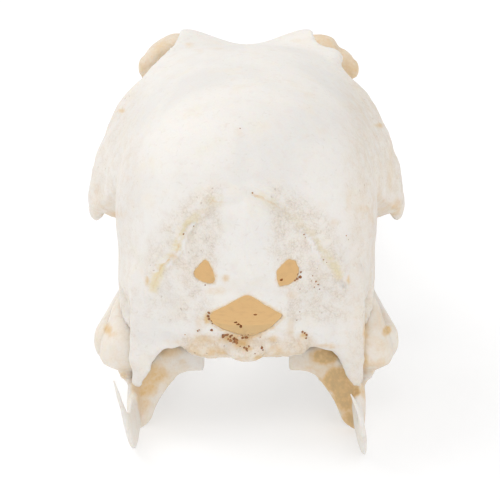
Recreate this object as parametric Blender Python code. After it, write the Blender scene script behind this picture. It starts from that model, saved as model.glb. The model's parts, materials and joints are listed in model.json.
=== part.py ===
"""The clean, dry skull of a dabbling duck, at life size, standing on its lower jaw.

Every bone is shaped in millimetres in the skull's own frame: the origin is the occipital
condyle, +Y runs to the tip of the bill, +X to the bird's right and +Z up. The last step puts
each bone in metres, with the middle of the skull's box over the origin and the jaw at z = 0.
"""

import math

import bpy
import numpy as np

MM = 0.001

# Driving sizes of the skull, in millimetres
BRAINCASE_MIDDLE = (0.0, 11.5, 10.8)
BRAINCASE_HALF = (12.9, 13.2, 13.3)
BRAINCASE_SQUARE = 2.3
BONE_WALL = 1.9
POSTORBITAL_HALF = 15.9
SEPTUM_HALF = 0.6
HINGE_Y = 48.6
BILL_TIP_Y = 109.0
BILL_HALF = 10.4
JAW_TIP_Y = 102.6
FLOOR_Z = -9.52
SUTURE = 0.32
RIM_HEIGHT = 1.3

# Where the middle of the skull's box stands in the row frame, in millimetres
BOX_MIDDLE_X = -0.01
BOX_MIDDLE_Y = 50.08

# Fineness of the solids, in millimetres and triangles
VOXEL = 0.42
FINE_VOXEL = 0.30
TRIANGLES = {
    "cranium": 6200,
    "upper_bill": 2400,
    "mandible": 2800,
    "quadrate": 420,
    "lacrimal": 260,
    "palatine": 260,
    "jugal": 180,
    "pterygoid": 150,
    "vomer": 130,
}
THINNEST = 0.05

IVORY = (0.87, 0.84, 0.77)
PALE_TAN = (0.80, 0.69, 0.50)


def eased(stations, rows):
    """The stations' values at evenly spread rows, on a curve through every station."""
    s = np.asarray(stations, float)
    s = np.vstack([2 * s[0] - s[1], s, 2 * s[-1] - s[-2]])
    t = np.linspace(0, len(s) - 3, rows)
    i = np.minimum(t.astype(int), len(s) - 4)
    u = (t - i)[:, None]
    a, b, c, d = s[i], s[i + 1], s[i + 2], s[i + 3]
    return b + 0.5 * ((c - a) * u + (2 * a - 5 * b + 4 * c - d) * u**2 + (3 * b - a - 3 * c + d) * u**3)


def ring_of(around, square):
    """A ring of radius one: round where square is 2, and boxier as square grows."""
    turn = np.linspace(0, 2 * math.pi, around, endpoint=False)
    ring = np.stack([np.cos(turn), np.sin(turn)], axis=1)
    return ring / (np.abs(ring) ** square).sum(axis=1, keepdims=True) ** (1 / square)


def closed(grid):
    """Points and triangles of a grid of rings, closed by a point at each end, facing out."""
    rows, around, _ = grid.shape
    points = np.vstack([grid.reshape(-1, 3), grid[0].mean(axis=0), grid[-1].mean(axis=0)])
    index = np.arange(rows * around).reshape(rows, around)
    a, b = index[:-1], index[1:]
    a_next, b_next = np.roll(a, -1, axis=1), np.roll(b, -1, axis=1)
    first, last = index[0], index[-1]
    start, end = np.full(around, rows * around), np.full(around, rows * around + 1)
    faces = np.vstack(
        [
            np.stack([a, a_next, b_next], axis=-1).reshape(-1, 3),
            np.stack([a, b_next, b], axis=-1).reshape(-1, 3),
            np.stack([start, np.roll(first, -1), first], axis=-1),
            np.stack([end, last, np.roll(last, -1)], axis=-1),
        ]
    )
    volume = np.linalg.det(points[faces] - points.mean(axis=0)).sum()
    return points, faces if volume > 0 else faces[:, ::-1]


def ball(middle, radii, square=2.0, around=40):
    """An egg: each direction from the middle, scaled until its p-norm is one."""
    rise = np.linspace(-math.pi / 2, math.pi / 2, around // 2 + 1)[1:-1, None]
    turn = np.linspace(0, 2 * math.pi, around, endpoint=False)[None, :]
    ray = np.stack(
        [np.cos(rise) * np.cos(turn), np.cos(rise) * np.sin(turn), np.sin(rise) + 0 * turn],
        axis=-1,
    )
    ray /= (np.abs(ray) ** square).sum(axis=-1, keepdims=True) ** (1 / square)
    return closed(np.asarray(middle) + ray * np.asarray(radii))


def limb(stations, rows=26, around=18, square=2.0, held=None, up=(0, 0, 1), ends=(1, 1)):
    """A section carried along a curve. ends says how far the first and last end bulge.

    A station is x, y, z, half-width, half-height. held names the axis that every section
    stays square to. Otherwise a section is square to the curve, with its height towards up.
    """
    line = eased(stations, rows)
    centre, half = line[:, :3], np.maximum(line[:, 3:5], THINNEST)
    along = np.gradient(centre, axis=0)
    along /= np.linalg.norm(along, axis=1, keepdims=True)
    if held:
        k = "xyz".index(held)
        along = np.eye(3)[[k]] * np.sign(along[:, [k]])
        side = np.repeat(np.eye(3)[[1 if held == "x" else 0]], rows, axis=0)
        tall = np.repeat(np.eye(3)[[1 if held == "z" else 2]], rows, axis=0)
    else:
        side = np.cross(along, np.asarray(up, float))
        side /= np.linalg.norm(side, axis=1, keepdims=True)
        tall = np.cross(side, along)
    bend = np.radians([30, 60, 84])
    near, far = half[0].min(), half[-1].min()
    head = [(0, -near * ends[0] * math.sin(t), near * (1 - math.cos(t))) for t in bend[::-1]]
    tail = [(-1, far * ends[1] * math.sin(t), far * (1 - math.cos(t))) for t in bend]
    caps = [
        (centre[i] + along[i] * step, half[i] - less, side[i], tall[i])
        for i, step, less in head + tail
    ]
    centre = np.vstack([[c[0] for c in caps[:3]], centre, [c[0] for c in caps[3:]]])
    half = np.vstack([[c[1] for c in caps[:3]], half, [c[1] for c in caps[3:]]])
    side = np.vstack([[c[2] for c in caps[:3]], side, [c[2] for c in caps[3:]]])
    tall = np.vstack([[c[3] for c in caps[:3]], tall, [c[3] for c in caps[3:]]])
    ring = ring_of(around, square)
    grid = centre[:, None] + side[:, None] * (ring[None, :, :1] * half[:, None, :1])
    return closed(grid + tall[:, None] * (ring[None, :, 1:] * half[:, None, 1:]))


def arch(stations, rows=30, around=25):
    """A curved slab across the skull, carried along Y.

    A station is y, half-width, z of the edges, z of the middle, roundness, thickness in the
    middle, thickness at the edges. Across, x runs as half-width * sin(s) and the top as
    z_edge + (z_middle - z_edge) * cos(s) ** roundness, with s from -90 to 90 degrees. The
    underside is the same curve with both thicknesses taken off, RIM_HEIGHT lower at its edges.
    """
    line = eased(stations, rows)
    y, wide, z_edge, z_middle, round_by, thick, thin = (line[:, [i]] for i in range(7))
    s = np.linspace(-math.pi / 2, math.pi / 2, around)[None, :]
    crown = np.clip(np.cos(s), 0, 1) ** round_by
    top = z_edge + (z_middle - z_edge) * crown
    low_edge = z_edge - RIM_HEIGHT
    low = low_edge + (z_middle - thick - low_edge) * crown
    upper = np.stack([wide * np.sin(s), y + 0 * s, top], axis=-1)
    lower = np.stack([(wide - thin) * np.sin(s), y + 0 * s, low], axis=-1)[:, ::-1]
    return closed(np.concatenate([upper, lower], axis=1))


def drill(middle, across, over, square, lean, dip, start, end, around=28):
    """A cutter for a hole: a ring leant back by lean degrees, pushed forward and down by dip."""
    ring = ring_of(around, square)
    c, s = math.cos(math.radians(lean)), math.sin(math.radians(lean))
    rim = np.stack([across * ring[:, 0], -over * s * ring[:, 1], over * c * ring[:, 1]], axis=1)
    along = np.array([0, math.cos(math.radians(dip)), -math.sin(math.radians(dip))])
    depth = np.linspace(start, end, 4)[:, None, None]
    return closed(np.asarray(middle) + rim[None] + along * depth)


def mirrored(shape):
    points, faces = shape
    return points * (-1, 1, 1), faces[:, ::-1]


def both(shape):
    return [shape, mirrored(shape)]


def turned(shape, middle, degrees):
    """A shape tilted about the X axis through a point, front end up."""
    points, faces = shape
    c, s = math.cos(math.radians(degrees)), math.sin(math.radians(degrees))
    turn = np.array([[1, 0, 0], [0, c, -s], [0, s, c]])
    return (points - middle) @ turn.T + middle, faces


def put(name, shape, collection=None):
    """A new object that holds a shape."""
    mesh = bpy.data.meshes.new(name)
    mesh.from_pydata(shape[0].tolist(), [], shape[1].tolist())
    obj = bpy.data.objects.new(name, mesh)
    (collection or bpy.context.scene.collection).objects.link(obj)
    return obj


def apply_modifiers(obj):
    graph = bpy.context.evaluated_depsgraph_get()
    mesh = bpy.data.meshes.new_from_object(obj.evaluated_get(graph))
    obj.modifiers.clear()
    obj.data = mesh


def combine(obj, shapes, operation):
    """Joins shapes to an object, or cuts them from it, with one Boolean."""
    if not shapes:
        return
    gathered = bpy.data.collections.new(obj.name + "_pieces")
    bpy.context.scene.collection.children.link(gathered)
    for shape in shapes:
        put(obj.name + "_piece", shape, gathered)
    boolean = obj.modifiers.new("combine", "BOOLEAN")
    boolean.operation = operation
    boolean.operand_type = "COLLECTION"
    boolean.collection = gathered
    boolean.solver = "MANIFOLD"
    apply_modifiers(obj)
    for piece in list(gathered.objects):
        bpy.data.objects.remove(piece)
    bpy.data.collections.remove(gathered)


def soften(obj, voxel, rounds):
    """Melts the seams between joined shapes: an even new surface, then a few smoothings."""
    remesh = obj.modifiers.new("even", "REMESH")
    remesh.mode = "VOXEL"
    remesh.voxel_size = voxel
    smooth = obj.modifiers.new("smooth", "SMOOTH")
    smooth.factor = 0.5
    smooth.iterations = rounds
    apply_modifiers(obj)


def keep_largest(obj):
    """Drops every closed surface but the one with the most faces."""
    mesh = obj.data
    mesh.calc_loop_triangles()
    faces = np.empty(len(mesh.loop_triangles) * 3, np.int64)
    mesh.loop_triangles.foreach_get("vertices", faces)
    faces = faces.reshape(-1, 3)
    label = np.arange(len(mesh.vertices))
    while True:
        lowest = np.repeat(label[faces].min(axis=1), 3)
        spread = label.copy()
        np.minimum.at(spread, faces.ravel(), lowest)
        spread = spread[spread]
        if (spread == label).all():
            break
        label = spread
    found, count = np.unique(label[faces[:, 0]], return_counts=True)
    kept = faces[label[faces[:, 0]] == found[count.argmax()]]
    used, index = np.unique(kept, return_inverse=True)
    points = np.empty(len(mesh.vertices) * 3)
    mesh.vertices.foreach_get("co", points)
    whole = bpy.data.meshes.new(obj.name)
    whole.from_pydata(points.reshape(-1, 3)[used].tolist(), [], index.reshape(-1, 3).tolist())
    obj.data = whole


def carve_by(obj, offset):
    """Moves each vertex along its normal by what offset(points, normals) says."""
    mesh = obj.data
    points = np.empty(len(mesh.vertices) * 3)
    normals = np.empty(len(mesh.vertices) * 3)
    mesh.vertices.foreach_get("co", points)
    mesh.vertex_normals.foreach_get("vector", normals)
    points, normals = points.reshape(-1, 3), normals.reshape(-1, 3)
    points += normals * offset(points, normals)[:, None]
    mesh.vertices.foreach_set("co", points.ravel())
    mesh.update()


def finish(obj, triangles, colour, rough):
    """Thins the mesh to its share of triangles, puts it in place in metres and paints it."""
    mesh = obj.data
    mesh.calc_loop_triangles()
    thin = obj.modifiers.new("thin", "DECIMATE")
    thin.ratio = min(1.0, triangles / len(mesh.loop_triangles))
    apply_modifiers(obj)
    mesh = obj.data
    points = np.empty(len(mesh.vertices) * 3)
    mesh.vertices.foreach_get("co", points)
    points = (points.reshape(-1, 3) - (BOX_MIDDLE_X, BOX_MIDDLE_Y, FLOOR_Z)) * MM
    points[:, 2] = np.maximum(points[:, 2], 0)
    mesh.vertices.foreach_set("co", points.ravel())
    mesh.update()
    mesh.shade_smooth()
    material = bpy.data.materials.new(obj.name)
    material.use_nodes = True
    shader = material.node_tree.nodes["Principled BSDF"]
    shader.inputs["Base Color"].default_value = (*colour, 1)
    shader.inputs["Roughness"].default_value = rough
    mesh.materials.append(material)


def bone(name, shapes, cuts=(), later=(), voxel=VOXEL, rounds=3, offset=None, kind=None, colour=IVORY):
    """One bone: shapes joined and softened, cuts taken out, its relief raised, and thinned."""
    obj = put(name, shapes[0])
    combine(obj, shapes[1:], "UNION")
    soften(obj, voxel, rounds)
    combine(obj, list(cuts), "DIFFERENCE")
    combine(obj, list(later), "UNION")
    if cuts or later:
        soften(obj, voxel, 2)
    if offset:
        carve_by(obj, offset)
    keep_largest(obj)
    finish(obj, TRIANGLES[kind or name], colour, 0.55)
    return obj


def window(low, high, value, blur):
    """One between low and high, fading to nothing over blur on each side."""
    rise = np.clip((value - low) / blur + 0.5, 0, 1)
    fall = np.clip((high - value) / blur + 0.5, 0, 1)
    return rise * rise * (3 - 2 * rise) * fall * fall * (3 - 2 * fall)


def hump(value, middle, width):
    return np.exp(-(((value - middle) / width) ** 2))


# The braincase and the roof over the eyes
def braincase():
    return ball(BRAINCASE_MIDDLE, BRAINCASE_HALF, square=BRAINCASE_SQUARE, around=64)


def temple():
    """The side wall of the braincase below its widest point, down to the ear."""
    return ball((8.8, 10.6, 6.0), (3.9, 6.8, 6.2), square=2.6)


def roof():
    """The frontal bones: domed over the brain, flared out behind the eyes, and then a hollowed
    bridge between the orbits that widens again to the hinge of the bill."""
    rim = POSTORBITAL_HALF
    return arch(
        [
            (8.0, 9.0, 18.3, 23.7, 1.0, 3.0, 2.5),
            (13.0, 12.5, 13.4, 24.3, 0.92, 3.0, 3.0),
            (17.0, rim - 1.5, 9.7, 24.5, 0.94, 3.2, 3.6),
            (19.6, rim - 0.2, 8.3, 24.5, 1.0, 3.4, 4.2),
            (21.4, rim, 8.8, 24.4, 1.0, 3.6, 4.0),
            (23.0, rim - 1.9, 15.3, 24.2, 1.05, 3.4, 3.2),
            (24.6, 11.7, 18.7, 24.0, 1.15, 3.2, 2.4),
            (26.5, 10.0, 20.9, 23.7, 1.25, 3.0, 1.8),
            (28.3, 8.7, 22.2, 23.2, 1.5, 2.8, 1.0),
            (30.5, 7.5, 23.2, 22.5, 2.8, 2.7, 0.7),
            (33.0, 6.9, 23.6, 21.9, 4.2, 2.6, 0.5),
            (37.0, 6.1, 22.3, 20.9, 4.2, 2.6, 0.4),
            (41.0, 6.0, 20.6, 19.7, 3.4, 2.6, 0.4),
            (44.5, 6.6, 18.9, 18.6, 2.2, 2.8, 0.8),
            (HINGE_Y - SUTURE, 6.9, 17.1, 17.4, 1.5, 2.8, 2.0),
        ],
        rows=60,
        around=33,
    )


def postorbital_process():
    """The prong that hangs forward and down from the back rim of the orbit."""
    return limb(
        [
            (14.3, 19.6, 10.8, 1.3, 1.8),
            (14.9, 21.6, 9.0, 1.0, 1.7),
            (15.3, 23.6, 7.3, 0.8, 1.3),
            (15.4, 25.6, 5.9, 0.5, 0.7),
        ]
    )


def septum():
    """The thin upright wall between the two orbits, thicker at its front."""
    return limb(
        [
            (0, 19.0, 12.0, 2.2, 11.0),
            (0, 24.0, 12.0, 0.9, 10.6),
            (0, 31.0, 11.6, SEPTUM_HALF, 10.4),
            (0, 38.0, 11.2, SEPTUM_HALF, 9.4),
            (0, 43.0, 11.0, 0.9, 7.8),
            (0, 46.6, 12.0, 1.5, 5.2),
        ],
        held="y",
        square=4,
    )


def rostrum():
    """The rod under the septum, from the base of the braincase to the root of the bill."""
    return limb(
        [
            (0, 9.0, 0.2, 3.6, 2.3),
            (0, 16.0, 0.0, 2.4, 2.0),
            (0, 22.0, 0.6, 1.5, 1.5),
            (0, 32.0, 1.7, 1.1, 1.2),
            (0, 40.0, 2.8, 0.9, 1.0),
            (0, 45.2, 3.6, 0.8, 0.9),
        ]
    )


def front_wall():
    """The small transverse wall at the front of the orbit."""
    return limb(
        [
            (0, 44.6, 12.5, 0.8, 4.6),
            (3.0, 44.6, 13.0, 0.7, 3.9),
            (5.0, 44.9, 14.4, 0.6, 2.7),
            (6.0, 45.0, 15.6, 0.5, 1.4),
        ],
        held="x",
        square=3,
    )


def base_plate():
    """The smooth triangular plate under the braincase."""
    return limb(
        [
            (0, 2.3, 0.15, 6.0, 1.5),
            (0, 4.6, 0.3, 7.2, 2.0),
            (0, 8.0, 0.0, 5.8, 2.4),
            (0, 13.0, -0.2, 3.9, 2.2),
            (0, 18.5, 0.0, 1.8, 1.6),
        ],
        held="y",
        square=3.2,
    )


def basipterygoid_pad():
    """The oval pad on the side of the rostrum that the pterygoid slides on."""
    return ball((1.5, 24.6, 0.2), (1.5, 3.0, 0.9))


def wing():
    """The plate behind the ear, ending below in the paroccipital process."""
    return limb(
        [
            (3.4, 1.9, 4.2, 1.0, 3.0),
            (6.1, 2.3, 4.4, 1.1, 3.7),
            (7.4, 2.7, 4.0, 1.1, 4.1),
            (8.3, 2.9, 3.6, 1.1, 4.5),
            (9.0, 3.0, 3.1, 1.1, 4.8),
            (9.6, 3.1, 2.6, 1.05, 5.2),
            (10.1, 3.15, 2.0, 1.0, 5.7),
            (10.4, 3.2, 1.7, 1.0, 6.2),
            (10.7, 3.3, 1.55, 0.95, 6.3),
            (11.05, 3.4, 1.55, 0.8, 6.3),
        ],
        rows=44,
        held="x",
        square=3,
        ends=(1, 0.5),
    )


def ear_wall():
    """The squamosal edge over the quadrate, with the small zygomatic point in front."""
    return limb(
        [
            (10.4, 4.6, 5.6, 1.3, 2.8),
            (11.0, 7.5, 5.6, 1.2, 2.2),
            (11.4, 11.0, 5.5, 1.0, 1.6),
            (11.9, 14.5, 4.8, 0.6, 0.8),
        ]
    )


def condyle():
    """The knob of the neck joint."""
    return ball((0.05, 0.7, 0.0), (2.0, 1.35, 1.2))


def rim_lobe():
    """The roof's right rim bulges a little further over the orbit than its left one."""
    return ball((8.2, 28.4, 21.7), (1.75, 3.2, 0.9))


def orbit():
    """What the eye takes out of the head."""
    return ball((11.3, 33.0, 10.2), (10.5, 10.7, 11.4), square=2.2, around=48)


def brain_room():
    half = [size - BONE_WALL for size in BRAINCASE_HALF]
    return ball(BRAINCASE_MIDDLE, half, square=BRAINCASE_SQUARE, around=48)


def foramen_magnum():
    """The way out for the spinal cord: a broad rounded diamond."""
    return drill((0, -0.25, 3.8), 3.85, 2.95, square=1.35, lean=23, dip=16, start=-5, end=4.5)


def fontanelle():
    """One of the two gaps in the back wall, above and beside the foramen."""
    return drill((4.05, 0, 8.25), 1.15, 1.45, square=1.7, lean=4, dip=10, start=-5, end=4.5)


def ear_hollow():
    return ball((11.6, 8.4, 0.2), (4.2, 3.0, 4.6), square=2.3)


def optic_hole():
    return limb([(-6, 27.4, 6.4, 1.9, 1.9), (6, 27.4, 6.4, 1.9, 1.9)], rows=4, held="x")


def cranium_relief(points, normals):
    """Raised and hollowed places of the back, in millimetres along the normal.

    With u = z + 0.3 y, the nuchal crest is a ridge where (x / 9.0) ** 2 + ((u - 6.6) / 9.3) ** 2
    is one. Inside it the wall lies back, except the cerebellar prominence in the middle.
    """
    x, y, z = points.T
    u = z + 0.3 * y
    shell = (np.abs((points - BRAINCASE_MIDDLE) / BRAINCASE_HALF) ** BRAINCASE_SQUARE).sum(axis=1)
    behind = (shell > 0.9) * window(-9, 5, y, 3) * window(0.1, 2, -normals[:, 1] + 0.4 * normals[:, 2], 0.3)
    reach = np.sqrt((x / 9.0) ** 2 + (np.clip(u - 6.6, 0, 99) / 9.3) ** 2)
    above = window(4.5, 30, u, 3)
    crest = 0.5 * hump(reach, 1.0, 0.07)
    lie_back = -0.55 * window(0, 0.93, reach, 0.1)
    prominence = 1.5 * hump(x, 0, 3.0) * window(6.6, 14.2, u, 3.2)
    return behind * (above * (crest + lie_back) + prominence)


def cranium():
    shapes = [braincase(), roof(), septum(), rostrum(), base_plate(), condyle(), rim_lobe()]
    for shape in (temple(), wing(), ear_wall(), basipterygoid_pad(), front_wall()):
        shapes += both(shape)
    cuts = [brain_room(), foramen_magnum(), optic_hole()]
    for shape in (orbit(), fontanelle(), ear_hollow()):
        cuts += both(shape)
    return bone("cranium", shapes, cuts, both(postorbital_process()), offset=cranium_relief)


# The bones at the front of the orbit
def lacrimal():
    """The rounded shield at the front corner of the orbit, with its prong down and back."""
    shield = limb(
        [
            (7.0, 45.7, 18.6, 1.8, 1.05),
            (7.8, 45.6, 18.5, 1.9, 1.15),
            (8.6, 45.3, 18.2, 2.1, 1.2),
            (9.5, 44.9, 17.7, 2.1, 1.25),
            (10.3, 44.5, 17.1, 1.8, 1.3),
            (10.9, 44.1, 16.5, 1.3, 1.15),
        ],
        held="x",
        ends=(0.3, 0.5),
    )
    prong = limb(
        [
            (10.2, 44.2, 16.4, 0.9, 1.6),
            (10.4, 43.6, 13.0, 0.7, 1.4),
            (10.5, 41.8, 9.4, 0.65, 1.4),
            (10.3, 39.2, 7.0, 0.65, 1.7),
            (10.2, 36.8, 5.8, 0.5, 1.1),
        ],
        up=(0, 1, 0),
    )
    return [shield, prong]


# The upper bill
BILL = [
    # y, half-width, z of the top, z of the widest line, z of the underside
    (HINGE_Y, 6.5, 17.3, 1.6, 0.8),
    (52.0, 7.3, 15.6, -0.6, -1.6),
    (57.0, 7.9, 12.4, -1.4, -2.5),
    (63.0, 8.0, 9.2, -2.0, -3.1),
    (69.0, 8.0, 6.6, -2.6, -3.6),
    (75.0, 8.4, 4.6, -3.0, -4.0),
    (81.0, 9.2, 2.9, -3.3, -4.3),
    (88.0, 10.1, 1.5, -3.4, -4.5),
    (94.0, BILL_HALF, 0.5, -3.4, -4.6),
    (100.0, BILL_HALF * 0.95, -0.5, -3.4, -4.6),
    (104.5, BILL_HALF * 0.80, -1.3, -3.6, -4.7),
    (107.6, BILL_HALF * 0.52, -2.1, -3.9, -4.9),
    (BILL_TIP_Y, BILL_HALF * 0.24, -2.9, -4.3, -5.0),
]
BILL_WALL = 1.4
PALATE_Y = 60.0
PALATE_TOP = -0.6


def domed(stations, rows, around=40, square=2.3):
    """A body carried along Y with its widest line low down, like the upper bill.

    A station is y, half-width, z of the top, z of the widest line, z of the underside. A
    section is a rounded ring, stretched up to the top above that line and down below it.
    """
    y, wide, top, edge, low = (column[:, None] for column in eased(stations, rows).T)
    across, rise = ring_of(around, square).T
    z = edge + rise * np.where(rise > 0, top - edge, edge - low)
    return closed(np.stack([wide * across, y + 0 * z, z], axis=-1))


def nose_room():
    """The room behind the nostrils: open below and behind, with a floor from the palate on."""
    table = np.array(BILL).T
    y = np.array([HINGE_Y, 52.0, 57.0, PALATE_Y - 0.3, PALATE_Y + 0.3, 63.0, 69.0])
    wide, top, edge = (np.interp(y, table[0], column) for column in table[1:4])
    floor = np.where(y < PALATE_Y, -8.0, PALATE_TOP)
    edge = np.maximum(edge, floor + 1)
    y[0] -= 3
    return domed(np.stack([y, wide - BILL_WALL, top - BILL_WALL, edge, floor], axis=1), rows=91)


def palate_hollow():
    """The trough along the underside, from the palate to the nail."""
    y, wide, _, _, low = np.array(BILL[3:-1]).T
    deep = np.array([0.3, 1.2, 2.2, 2.8, 2.5, 2.1, 1.7, 1.1, 0.3])
    return domed(np.stack([y, wide - 1.6, low + deep, low - 1.5, low - 3], axis=1), rows=60, square=2.6)


def nostril():
    """The long nostril, cut right through from side to side, sloping with the bill."""
    hole = limb([(-12, 61.0, 5.0, 5.6, 2.2), (12, 61.0, 5.0, 5.6, 2.2)], rows=4, held="x", square=2.2)
    return turned(hole, np.array([0, 61.0, 5.0]), -22)


def antorbital_gap():
    """The open window between the bill's side bar and the lacrimal."""
    hole = limb([(-12, 48.4, 5.6, 3.8, 6.4), (12, 48.4, 5.6, 3.8, 6.4)], rows=4, held="x", square=2.2)
    return turned(hole, np.array([0, 48.4, 5.6]), 12)


def side_bar():
    """The bar along the bill's lower edge that reaches back to the jugal."""
    return limb(
        [
            (8.0, 52.8, -1.8, 0.8, 0.95),
            (7.7, 56.0, -1.9, 0.9, 1.0),
            (7.3, 61.0, -2.1, 0.9, 1.0),
            (7.0, 66.0, -2.6, 0.8, 0.9),
        ],
        ends=(0.4, 1),
    )


def upper_bill():
    cuts = [nose_room(), palate_hollow(), nostril(), antorbital_gap()]
    return bone("upper_bill", [domed(BILL, rows=80)], cuts, both(side_bar()), rounds=2)


# The bars below
def jugal():
    """The bar of the cheek, with the knob behind that sits against the quadrate."""
    return limb(
        [
            (13.7, 8.0, -1.95, 1.05, 1.9),
            (13.75, 10.2, -1.8, 0.95, 1.5),
            (13.2, 16.0, -1.7, 0.95, 1.2),
            (12.1, 24.0, -1.6, 0.85, 1.05),
            (10.7, 36.0, -1.6, 0.7, 0.95),
            (9.0, 46.0, -1.7, 0.65, 0.9),
            (8.0, 52.15, -1.8, 0.6, 0.85),
        ],
        ends=(1, 0.3),
    )


def palatine():
    """The flat bone of the palate, broad behind, with a slim bar to the root of the bill."""
    return limb(
        [
            (1.7, 26.4, -1.6, 0.8, 0.75),
            (2.6, 30.0, -1.8, 1.8, 0.6),
            (4.0, 35.0, -1.8, 2.1, 0.55),
            (4.4, 40.0, -1.8, 1.2, 0.55),
            (4.4, 48.0, -1.6, 0.8, 0.55),
            (4.2, 55.0, -1.7, 0.8, 0.55),
            (4.0, 59.5, -1.7, 0.9, 0.6),
        ],
        ends=(1, 0.3),
    )


def pterygoid():
    return limb(
        [
            (7.5, 11.25, -3.0, 0.9, 0.9),
            (5.7, 14.8, -2.5, 0.8, 0.9),
            (4.2, 18.8, -2.1, 0.9, 0.8),
            (2.9, 22.6, -1.7, 1.0, 0.7),
            (2.3, 24.9, -1.6, 0.8, 0.6),
        ]
    )


def vomer():
    return limb(
        [
            (0, 27.6, -1.6, 0.6, 0.6),
            (0, 32.0, -1.3, 0.45, 1.1),
            (0, 40.0, -0.7, 0.45, 1.4),
            (0, 47.0, -0.5, 0.4, 1.1),
            (0, 52.0, -0.7, 0.35, 0.6),
        ]
    )


def quadrate():
    """The bone that hangs the jaw: a head in the ear, a blade forward and two knuckles below."""
    stem = limb(
        [
            (10.6, 8.4, 3.4, 1.0, 1.4),
            (10.7, 8.6, 1.4, 1.0, 1.2),
            (10.8, 8.9, -1.4, 1.3, 1.4),
        ],
        up=(0, 1, 0),
    )
    blade = limb([(10.6, 9.8, -1.4, 0.8, 1.2), (9.5, 12.4, -1.8, 0.6, 1.0), (8.3, 15.0, -1.6, 0.4, 0.6)])
    knuckles = limb(
        [
            (8.6, 9.3, -3.1, 1.2, 1.25),
            (10.4, 9.0, -2.7, 1.4, 1.5),
            (11.1, 8.9, -2.9, 1.3, 1.4),
        ],
        held="x",
    )
    outer_face = limb(
        [
            (11.9, 8.8, 2.0, 0.7, 1.4),
            (11.9, 8.2, 0.6, 0.8, 2.2),
            (11.5, 7.7, -0.9, 0.85, 2.6),
            (11.4, 7.6, -2.1, 0.9, 2.6),
            (11.3, 8.0, -3.0, 0.9, 2.2),
        ],
        up=(0, 1, 0),
    )
    return [stem, blade, knuckles, outer_face]


# The lower jaw
def jaw_bar():
    """The bar of the jaw from its joint, round the spoon-shaped front, to the other joint."""
    half = [
        (11.05, 3.0, -7.4, 0.55, 2.2),
        (10.75, 6.0, -7.4, 0.75, 2.2),
        (10.5, 10.0, -7.2, 1.0, 2.4),
        (10.6, 14.0, -6.6, 1.0, 3.0),
        (10.6, 18.0, -6.2, 1.0, 3.4),
        (10.5, 23.0, -6.7, 1.0, 2.9),
        (10.1, 30.0, -6.85, 1.0, 2.6),
        (9.5, 40.0, -6.95, 1.0, 2.35),
        (8.9, 52.0, -7.2, 1.1, 2.1),
        (8.5, 64.0, -7.5, 1.2, 1.9),
        (8.4, 76.0, -7.8, 1.6, 1.7),
        (8.1, 87.0, -8.05, 2.1, 1.55),
        (6.9, 95.0, -8.2, 2.6, 1.4),
        (4.4, 100.6, -8.2, 2.9, 1.3),
    ]
    tip = [(0.0, JAW_TIP_Y, -8.2, 3.0, 1.3)]
    other = [(-x, y, z, w, h) for x, y, z, w, h in reversed(half)]
    return limb(half + tip + other, rows=150, around=20, square=2.6)


def jaw_cup():
    """The block under the quadrate's knuckles, with the cups they turn in."""
    return limb(
        [
            (12.1, 8.9, -5.2, 1.6, 0.5),
            (11.3, 8.9, -5.7, 2.4, 1.15),
            (10.0, 8.6, -5.8, 2.6, 1.3),
            (8.6, 8.2, -5.5, 2.0, 0.75),
            (7.6, 7.6, -5.2, 1.2, 0.5),
        ],
        held="x",
        square=2.3,
    )


def jaw_web():
    """The prong that points in under the skull, widening to the thin wall before the hook."""
    return limb(
        [
            (11.0, 4.0, -7.3, 0.6, 2.2),
            (10.0, 4.5, -7.3, 0.55, 2.1),
            (9.4, 4.9, -6.3, 0.55, 2.2),
            (9.0, 5.2, -5.2, 0.55, 2.2),
            (8.6, 5.5, -4.5, 0.55, 2.25),
            (8.0, 5.8, -3.9, 0.6, 2.05),
            (7.4, 6.1, -3.3, 0.65, 1.9),
            (6.7, 6.3, -3.0, 0.65, 1.45),
            (5.5, 6.5, -3.0, 0.6, 1.0),
            (4.2, 6.6, -3.2, 0.55, 0.65),
        ],
        rows=40,
        held="x",
        square=2.8,
    )


def right_hook():
    """The upturned blade behind the right joint. Its tip bends in."""
    return limb(
        [
            (11.0, 4.0, -7.4, 0.6, 2.1),
            (11.0, 0.0, -7.8, 0.45, 1.9),
            (11.2, -2.5, -7.6, 0.36, 1.8),
            (11.2, -5.0, -6.4, 0.34, 1.3),
            (10.9, -7.0, -4.4, 0.32, 0.8),
            (10.5, -8.1, -2.8, 0.3, 0.5),
            (10.1, -8.7, -1.3, 0.28, 0.3),
        ],
        up=(0.25, 0, 1),
    )


def left_hook():
    """The upturned blade behind the left joint. Its tip bends out."""
    return limb(
        [
            (-11.0, 4.0, -7.4, 0.6, 2.1),
            (-11.0, 0.0, -7.7, 0.45, 2.0),
            (-11.4, -2.5, -7.0, 0.4, 1.7),
            (-11.9, -5.0, -5.4, 0.34, 1.2),
            (-12.3, -7.0, -3.2, 0.32, 0.7),
            (-12.7, -7.9, -1.4, 0.3, 0.4),
            (-13.0, -8.3, -0.1, 0.28, 0.3),
        ],
        up=(-0.3, 0, 1),
    )


def mandible():
    shapes = [jaw_bar(), right_hook(), left_hook()]
    for shape in (jaw_cup(), jaw_web()):
        shapes += both(shape)
    return bone("mandible", shapes, rounds=1, voxel=FINE_VOXEL)


def clear_scene():
    for obj in list(bpy.data.objects):
        bpy.data.objects.remove(obj)


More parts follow.
